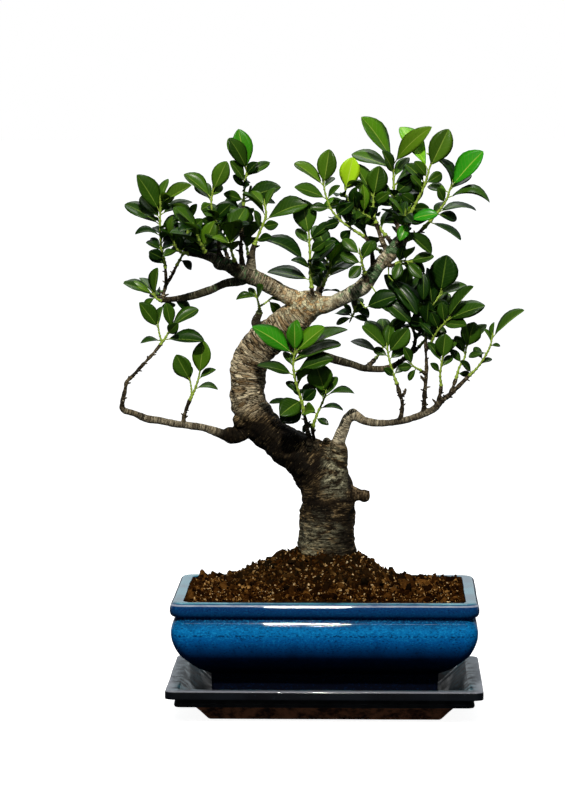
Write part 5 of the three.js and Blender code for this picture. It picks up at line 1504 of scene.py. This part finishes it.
# Leaves of the solids that lean out of their place, as (x and z of the tip, mm deeper at the tip,
# width, tone); the tone holds painted light and shade
LEANING_LEAVES = [(59.2, 465.2, 24, 15.5, 0.92), (84, 465.2, -22, 14.5, 0.52)]

# Leaves that catch the light, as (x, z, tone); the tone paints that light in
BRIGHT_LEAVES = [
    (-64, 450.8, 0.7), (17.6, 429.2, 0.97), (0.8, 436.4, 0.5), (-18.4, 430.8, 0.45),
    (41.6, 461.2, 0.6), (69.6, 453.2, 0.6), (90.4, 454, 0.42), (113.6, 436.4, 0.82),
    (-26.4, 294, 0.66), (-46.4, 294.8, 0.68), (-13.6, 294.8, 0.66), (7.2, 302.8, 0.6),
    (6.4, 369.2, 0.8), (-87.2, 426, 0.46), (-116.8, 413.2, 0.48), (-140, 416.4, 0.3),
    (146.4, 310.8, 0.4), (96, 352.4, 0.18), (-134.4, 342, 0.4), (-100, 279.6, 0.46),
    (-4.2, 262, 0.42),
]


def merged(node):
    """Vertices and triangles of a solid of the frame, with doubled vertices joined."""
    mesh = bmesh.new()
    mesh.from_mesh(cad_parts[node].data)
    bmesh.ops.remove_doubles(mesh, verts=mesh.verts, dist=0.01 * MM)
    bmesh.ops.triangulate(mesh, faces=mesh.faces)
    mesh.verts.index_update()
    vertices = np.array([v.co for v in mesh.verts])
    faces = [[v.index for v in face.verts] for face in mesh.faces]
    mesh.free()
    return vertices, faces


def rims_of(node):
    """Middle and direction of each edge that is as long as a blade is thick."""
    vertices, faces = merged(node)
    edges = {tuple(sorted((face[k], face[k - 1]))) for face in faces for k in range(3)}
    ends = vertices[np.array(sorted(edges))]
    span = ends[:, 1] - ends[:, 0]
    length = np.linalg.norm(span, axis=1)
    rim = np.abs(length - BLADE_THICK * MM) < RIM_EXACT * MM
    return ends[rim].mean(1), span[rim] / length[rim, None]


def leaf_from(points, normal):
    """Base, run, lift and width of the leaf whose outline best passes through the rim points."""
    offset = points - points.mean(0)
    first = unit(np.cross(normal, [0.3, 0.5, 0.8]))
    order = np.argsort(np.arctan2(offset @ np.cross(normal, first), offset @ first))
    best, found = np.inf, None
    for outline in BLADE_OUTLINES:
        for chosen in itertools.combinations(outline, len(points)):
            share, half = np.array(chosen).T
            terms = np.stack([np.ones_like(share), share, 4 * share * (1 - share), half], -1)
            for turn in range(len(points)):
                ring = points[np.roll(order, turn)]
                fit = np.linalg.lstsq(terms, ring, rcond=None)[0]
                base, run, lift, across = fit
                reach = np.linalg.norm(fit[1:], axis=1)
                width = 2 * reach[2]
                large = len(outline) > 5
                if (width > LARGE_WIDTH * MM) != large:
                    continue
                if not LEAST_SLENDER * width < reach[0] < LONGEST_LEAF * MM:
                    continue
                skew = abs(run @ across) + abs(run @ lift) + abs(lift @ across)
                worth = np.abs(terms @ fit - ring).max() + skew / reach[0]
                if worth < best:
                    best, found = worth, (base, run, lift, width)
    return found


def leaves_of(node):
    """All leaves of a spray: the rims that run the same way belong to one leaf."""
    points, ways = rims_of(node)
    left = list(range(len(points)))
    found = []
    while left:
        alike = [i for i in left if abs(ways[i] @ ways[left[0]]) > RIMS_ALIKE]
        left = [i for i in left if i not in alike]
        if RIMS_LEAST <= len(alike) <= RIMS_MOST:
            leaf = leaf_from(points[alike], ways[alike[0]])
            found += [leaf] if leaf else []
    return found


def half_width(share):
    """Outline of a blade: tapered to the stalk at 0, widest past the middle, blunt at the tip at 1."""
    return np.sin(np.pi * np.clip(share, 0, 1) ** 1.16) ** 0.66


def curved_blade(leaf, fold, wave, phase, twist, droop):
    """Upper and then lower points of a blade, grids of how far along and across they lie, and
    the lift of the blade where its stalk ends."""
    base, run, lift, width = leaf
    normal = square_to(run, lift)
    across = np.cross(unit(run), normal)
    u = STATIONS[:, None] * np.ones(len(ACROSS))
    v = ACROSS[None] * np.ones((len(STATIONS), 1))
    share = (u - u[0, 0]) / (1 - u[0, 0])
    spread = 0.53 * width * half_width(share)
    spread[0] = 0.05 * width
    spread[-1] = 0
    arch = 4 * u * (1 - u) * (1 + droop * (u - 0.5))
    turn = twist * (u - 0.5)
    lateral = v * spread
    edge_wave = wave * width * np.sin(7 * u + phase + 1.5 * v) * v * v
    rise = fold * (np.abs(lateral) - 0.3 * spread) + edge_wave
    level = np.linalg.norm(lift) * arch
    sideways = lateral * np.cos(turn) - rise * np.sin(turn)
    upward = level + rise * np.cos(turn) + lateral * np.sin(turn)
    sheet = base + u[..., None] * run + sideways[..., None] * across + upward[..., None] * normal
    thick = 0.5 * LEAF_THICK * (1 - v * v) * np.minimum(1, 6 * (1 - share) + 0.1)
    thickness = thick[..., None] * normal
    points = np.concatenate([sheet + thickness, sheet - thickness]).reshape(-1, 3)
    return points, share, v, level[0, 0] * normal


def add_leaf(pile, leaf, young, dice):
    """A stalk and a blade: folded along the midrib, waved at the edge, thin at the rim."""
    *curves, lot = (dice.uniform(*span) for span in LEAF_SPANS.values())
    points, share, v, lifted = curved_blade(leaf, *curves)
    faces, used = blade_faces(*share.shape)
    under = np.repeat([0, 1], share.size)[used]
    along, reach = (np.tile(grid.ravel(), 2)[used] for grid in (share, v))
    pile.add(
        points[used], faces, BLADE,
        under=under, young=young, lot=lot, age=0.2, blade_along=along, blade_side=reach,
    )
    base, run, *_ = leaf
    add_stalk(pile, base, run, lifted)


def blade_faces(rows, columns):
    """Faces of two sheets that share their edges, and the numbers of the vertices they use."""
    upper = np.arange(rows * columns).reshape(rows, columns)
    upper[-1] = upper[-1, columns // 2]
    lower = upper + rows * columns
    lower[:, 0], lower[:, -1], lower[-1] = upper[:, 0], upper[:, -1], upper[-1]
    faces = []
    for i in range(rows - 1):
        for j in range(columns - 1):
            faces.append((upper[i, j], upper[i, j + 1], upper[i + 1, j + 1], upper[i + 1, j]))
            faces.append((lower[i, j], lower[i + 1, j], lower[i + 1, j + 1], lower[i, j + 1]))
    for j in range(columns - 1):
        faces.append((upper[0, j + 1], upper[0, j], lower[0, j], lower[0, j + 1]))
    corners = [list(dict.fromkeys(int(i) for i in face)) for face in faces]
    used = sorted({i for face in corners for i in face})
    number = {old: new for new, old in enumerate(used)}
    return [[number[i] for i in face] for face in corners], used


def small_tube(pile, points, radii, sides, kind=0, values=()):
    """A short closed tube through points, all in metres."""
    _, rings = tube(Path(points, radii), sides, 2)
    pile.add(*closed_rings(rings), kind, **dict(values))


def stem_values(age):
    """Values of a stem from green at age 0 to woody at 1; the others are those of leaves."""
    return {"under": 0, "young": 0.5, "lot": 0.5, "blade_along": 0, "blade_side": 0, "age": age}


def add_stalk(pile, base, run, lift):
    points = [base - 0.01 * run, base + 0.07 * run + 0.55 * lift, base + 0.16 * run + 1.1 * lift]
    small_tube(pile, points, MM * np.array([0.7, 0.5, 0.4]), 5, STEM, stem_values(0.15))


def add_stem(pile, path, start, dice):
    """A green stem, knobbly at its nodes, with its pointed bud."""
    t, rings = tube(path, STEM_SIDES, STEM_RINGS, None, start, path.last)
    share = (t - start) / max(path.last - start, 1e-6)
    knobs = np.maximum(np.sin(t * 17 + dice.uniform(0, 6)), 0) ** 3
    slim = 1 - STEM_SLIMMER * smooth_step(0, 0.25, share)
    middle = rings.mean(1, keepdims=True)
    rings = middle + (rings - middle) * (slim + 0.45 * knobs)[:, None, None]
    age = np.concatenate([np.repeat(1 - share, STEM_SIDES), [1, 0]])
    pile.add(*closed_rings(rings), STEM, **stem_values(age))
    tip, axis, radius = path.at(path.last), path.direction(path.last), path.radius(path.last)
    points = [tip + axis * BUD_LENGTH * MM * share for share in (-0.1, 0.3, 0.7, 1.0)]
    small_tube(pile, points, radius * np.array([0.7, 0.9, 0.5, 0.12]), 6, STEM, stem_values(0))


def as_seen(places):
    """Where points in metres show in the upright plane through the trunk, in millimetres."""
    places = np.asarray(places) / MM
    share = (places[..., 1] - EYE[1]) / -EYE[1]
    return np.stack([EYE[i] + (places[..., i] - EYE[i]) / share for i in (0, 2)], -1)


def stem_samples():
    """Points close together along all shoots, the shoot's direction there, and its number."""
    points, ways, owners = [], [], []
    for order, shoot in enumerate(SHOOTS.values()):
        for path, green in stems_of(*shoot):
            t = np.arange(max(green - 1, 0), path.last, STEM_SAMPLE)
            points.append(path.at(t))
            ways.append(path.direction(t))
            owners += [order] * len(t)
    return np.concatenate(points), np.concatenate(ways), np.array(owners)


def inner_leaves(samples):
    """Small dark leaves that fill the thick of the foliage, sprouting from stems inside it; their dark
    is painted shade, and the few bright ones are painted light.
    """
    points, ways, owners = samples
    shown = as_seen(points)
    dice = np.random.default_rng(7)
    for x, z, wide, high, count in THICKETS:
        middle, reach = np.array([x, z]), np.array([wide, high])
        inside = np.flatnonzero((((shown - middle) / reach) ** 2).sum(1) < 1)
        used = []
        for _ in range(count if len(inside) else 0):
            pick = dice.choice(inside)
            if any(np.linalg.norm(points[pick] - points[other]) < LEAF_SPACING * MM for other in used):
                continue
            length = dice.uniform(*INNER_LENGTHS) * MM
            out = unit(np.cross(ways[pick], dice.normal(size=3)))
            run = length * unit(out + dice.uniform(0.1, 0.9) * ways[pick])
            tip = as_seen(points[pick] + run)
            if (((tip - middle) / (reach + 5)) ** 2).sum() > 1:
                continue
            facing = np.array([dice.uniform(-0.5, 0.5), dice.uniform(-1, 0.1), dice.uniform(0.2, 1)])
            lift = 0.12 * length * square_to(run, facing)
            width = length * dice.uniform(*INNER_WIDTHS)
            used.append(pick)
            bright = dice.random() < INNER_BRIGHT
            tone = dice.uniform(*(INNER_BRIGHT_TONES if bright else INNER_TONES))
            yield owners[pick], (points[pick], run, lift, width), tone


def facing_front(base, tip, width):
    """A leaf between two places, turned to the front and a little upwards."""
    run = tip - base
    normal = square_to(run, np.array([0.1, -1, 0.6]))
    return base, run, 0.11 * np.linalg.norm(run) * normal, width * MM


def further_leaves(samples):
    """Single leaves that stand out, each from the nearest stem to its tip."""
    points, _, owners = samples
    shown = as_seen(points)
    for x, z, tip_x, tip_z, deeper, width, tone in SINGLE_LEAVES:
        nearest = np.argmin(np.linalg.norm(shown - (x, z), axis=1))
        base = points[nearest]
        tip = seen(tip_x, tip_z, base[1] / MM + deeper)
        yield owners[nearest], facing_front(base, tip, width), tone


def hanging_leaves(samples):
    """Leaves on thin stalks of their own, with the place on the wood where the stalk is held."""
    points, _, owners = samples
    limbs = [(path, path.last) for path in map(path_of, LIMBS.values())]
    limbs += [(path_of(rows), green) for green, rows, *_ in SHOOTS.values()]
    wood = np.concatenate([path.at(np.arange(0, end, WOOD_SAMPLE)) for path, end in limbs])
    for x, z, y, tip_x, tip_z, tip_y, width, tone in HANGING_LEAVES:
        base, tip = seen(x, z, y), seen(tip_x, tip_z, tip_y)
        held = wood[np.argmin(np.linalg.norm(wood - base, axis=1))]
        owner = owners[np.argmin(np.linalg.norm(points - base, axis=1))]
        yield owner, facing_front(base, tip, width), tone, held


def leaning(leaf):
    """A leaf, turned if it is listed as leaning, and then its tone."""
    base, run, *_ = leaf
    for x, z, deeper, width, tone in LEANING_LEAVES:
        if np.linalg.norm(as_seen(base + run) - (x, z)) < TIP_WITHIN:
            tip = seen(x, z, (base + run)[1] / MM + deeper)
            return facing_front(base, tip, width), tone
    return leaf, None


def shade_of(leaf, ends):
    """How young and bright a leaf is, with painted light in it: by a listed spot, or else by how near
    its shoot's end it is and, as painted light from above, how high it is.
    """
    base, run, *_ = leaf
    middle = as_seen(base + 0.55 * run)
    for x, z, tone in BRIGHT_LEAVES:
        if np.linalg.norm(middle - (x, z)) < SPOT_WITHIN:
            return tone
    to_end = np.linalg.norm(ends - base, axis=1).min()
    near_end = float(np.clip(1 - to_end / (NEAR_END * MM), 0, 1))
    return 0.14 + 0.2 * near_end + 0.1 * smooth_step(*BRIGHTER_HEIGHTS, middle[1])


def add_long_stalk(pile, base, held):
    """The bowed stalk on which the wood holds a leaf."""
    middle = 0.5 * (held + base) + (0, 0, 1.5 * MM)
    radii = MM * np.array([0.9, 0.7, 0.6])
    small_tube(pile, [held, middle, base], radii, 6, STEM, stem_values(0.8))


def make_sprays():
    """One piece of foliage for each spray of the frame."""
    materials = [leaf_green(), green_stem()]
    samples = stem_samples()
    added = [*inner_leaves(samples), *further_leaves(samples), *hanging_leaves(samples)]
    for order, (name, shoot) in enumerate(SHOOTS.items()):
        dice = np.random.default_rng(100 + order)
        pile = Pile()
        stems = stems_of(*shoot)
        for path, green in stems:
            add_stem(pile, path, green, dice)
        ends = np.array([path.at(path.last) for path, _ in stems])
        for leaf in leaves_of(f"spray_{name}"):
            turned, tone = leaning(leaf)
            add_leaf(pile, turned, tone or shade_of(leaf, ends), dice)
        for owner, leaf, tone, *held in added:
            if owner == order:
                add_leaf(pile, leaf, tone, dice)
                if held:
                    add_long_stalk(pile, leaf[0], *held)
        place(f"leaves_{name}", pile.mesh(name), materials, [f"spray_{name}"])


# Camera, light and floor

# Focal length for a frame 36 mm high, and the camera's tilt down and turn to the left
LENS = 173.76
TILT = 4.709
TURN = 1.4815
FLOOR_RADIUS = 30
WALL_GLOW = 0.6
ROOM_GLOW = 0.05

# Soft boxes as (name, place, the point they face, width and height, watts, colour), in metres
SOFT_BOXES = [
    ("key", (-0.05, -1.7, 1.7), (0, 0, 0.25), (0.11, 0.05), 45, (1, 0.955, 0.87)),
    ("strip", (-0.05, -1.72, 1.74), (0, 0, 0.1), (1.8, 0.03), 4, (1, 1, 1)),
    ("glint", (-0.05, -2.0, 1.1), (0, 0, 0.08), (0.085, 0.04), 2.6, (1, 1, 1)),
    ("top", (-0.1, 0.7, 1.8), (0, 0, 0.2), (1.0, 0.6), 11, (1, 1, 1)),
]


def make_camera():
    camera = bpy.data.cameras.new("camera")
    camera.sensor_fit = "VERTICAL"
    camera.sensor_height = 36
    camera.lens = LENS
    camera.clip_end = 50
    holder = linked("camera", camera)
    holder.location = Vector(EYE) * MM
    holder.rotation_euler = (math.radians(90 - TILT), 0, math.radians(TURN))
    bpy.context.scene.camera = holder


def soft_box(name, at, towards, size, power, colour):
    light = bpy.data.lights.new(name, "AREA")
    light.color = colour
    light.shape = "RECTANGLE"
    light.size, light.size_y = size
    light.energy = power
    holder = linked(name, light)
    holder.location = at
    holder.rotation_euler = (Vector(towards) - Vector(at)).to_track_quat("-Z", "Y").to_euler()


def make_world():
    """White to the camera; for light, a bright wall behind the tree in an otherwise dim room."""
    world = bpy.data.worlds.new("studio")
    world.use_nodes = True
    world.node_tree.nodes.clear()
    node = partial(add_node, world.node_tree)
    way = node("ShaderNodeTexCoord", output="Generated")
    back, up = (node("ShaderNodeSeparateXYZ", values={0: way}, output=i) for i in (1, 2))
    smooth = {"interpolation_type": "SMOOTHSTEP"}
    behind = node("ShaderNodeMapRange", smooth, {"Value": back, "From Min": 0.1, "From Max": 0.8})
    above = node("ShaderNodeMapRange", smooth, {"Value": up, "From Min": -0.02, "From Max": 0.03})
    wall = node("ShaderNodeMath", {"operation": "MULTIPLY"}, {0: behind, 1: above})
    glow = {0: wall, 1: WALL_GLOW, 2: ROOM_GLOW}
    strength = node("ShaderNodeMath", {"operation": "MULTIPLY_ADD"}, glow)
    lit = node("ShaderNodeBackground", values={"Color": (0.87, 0.95, 1, 1), "Strength": strength})
    white = node("ShaderNodeBackground", values={"Color": (1, 1, 1, 1), "Strength": 1.0})
    camera = node("ShaderNodeLightPath", output="Is Camera Ray")
    mixed = node("ShaderNodeMixShader", values={0: camera, 1: lit, 2: white})
    node("ShaderNodeOutputWorld", values={"Surface": mixed})
    bpy.context.scene.world = world


def make_floor():
    """White round floor that throws no light back up at the object."""
    floor = linked("floor", bpy.data.meshes.new("floor"))
    plane = bmesh.new()
    bmesh.ops.create_circle(plane, cap_ends=True, segments=96, radius=FLOOR_RADIUS)
    plane.to_mesh(floor.data)
    plane.free()
    white = Finish("floor").surface(
        Base_Color=(0.8, 0.8, 0.8, 1), Roughness=0.9,
        Emission_Color=(1, 1, 1, 1), Emission_Strength=0.92,
    )
    floor.data.materials.append(white)
    floor.visible_diffuse = False
    floor.visible_glossy = False
    floor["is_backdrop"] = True


def make_studio():
    make_world()
    make_floor()
    for box in SOFT_BOXES:
        soft_box(*box)


def make_all():
    make_camera()
    make_studio()
    make_tray()
    make_pot()
    make_soil()
    make_drain_meshes()
    finish = bark()
    make_trunk(finish)
    make_twigs(finish)
    make_sprays()


bpy.context.scene.view_settings.view_transform = "Standard"
make_all()

boxes = {"cad": cad_box, "visual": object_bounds()}
{name: [[float(v) for v in corner] for corner in box] for name, box in boxes.items()}
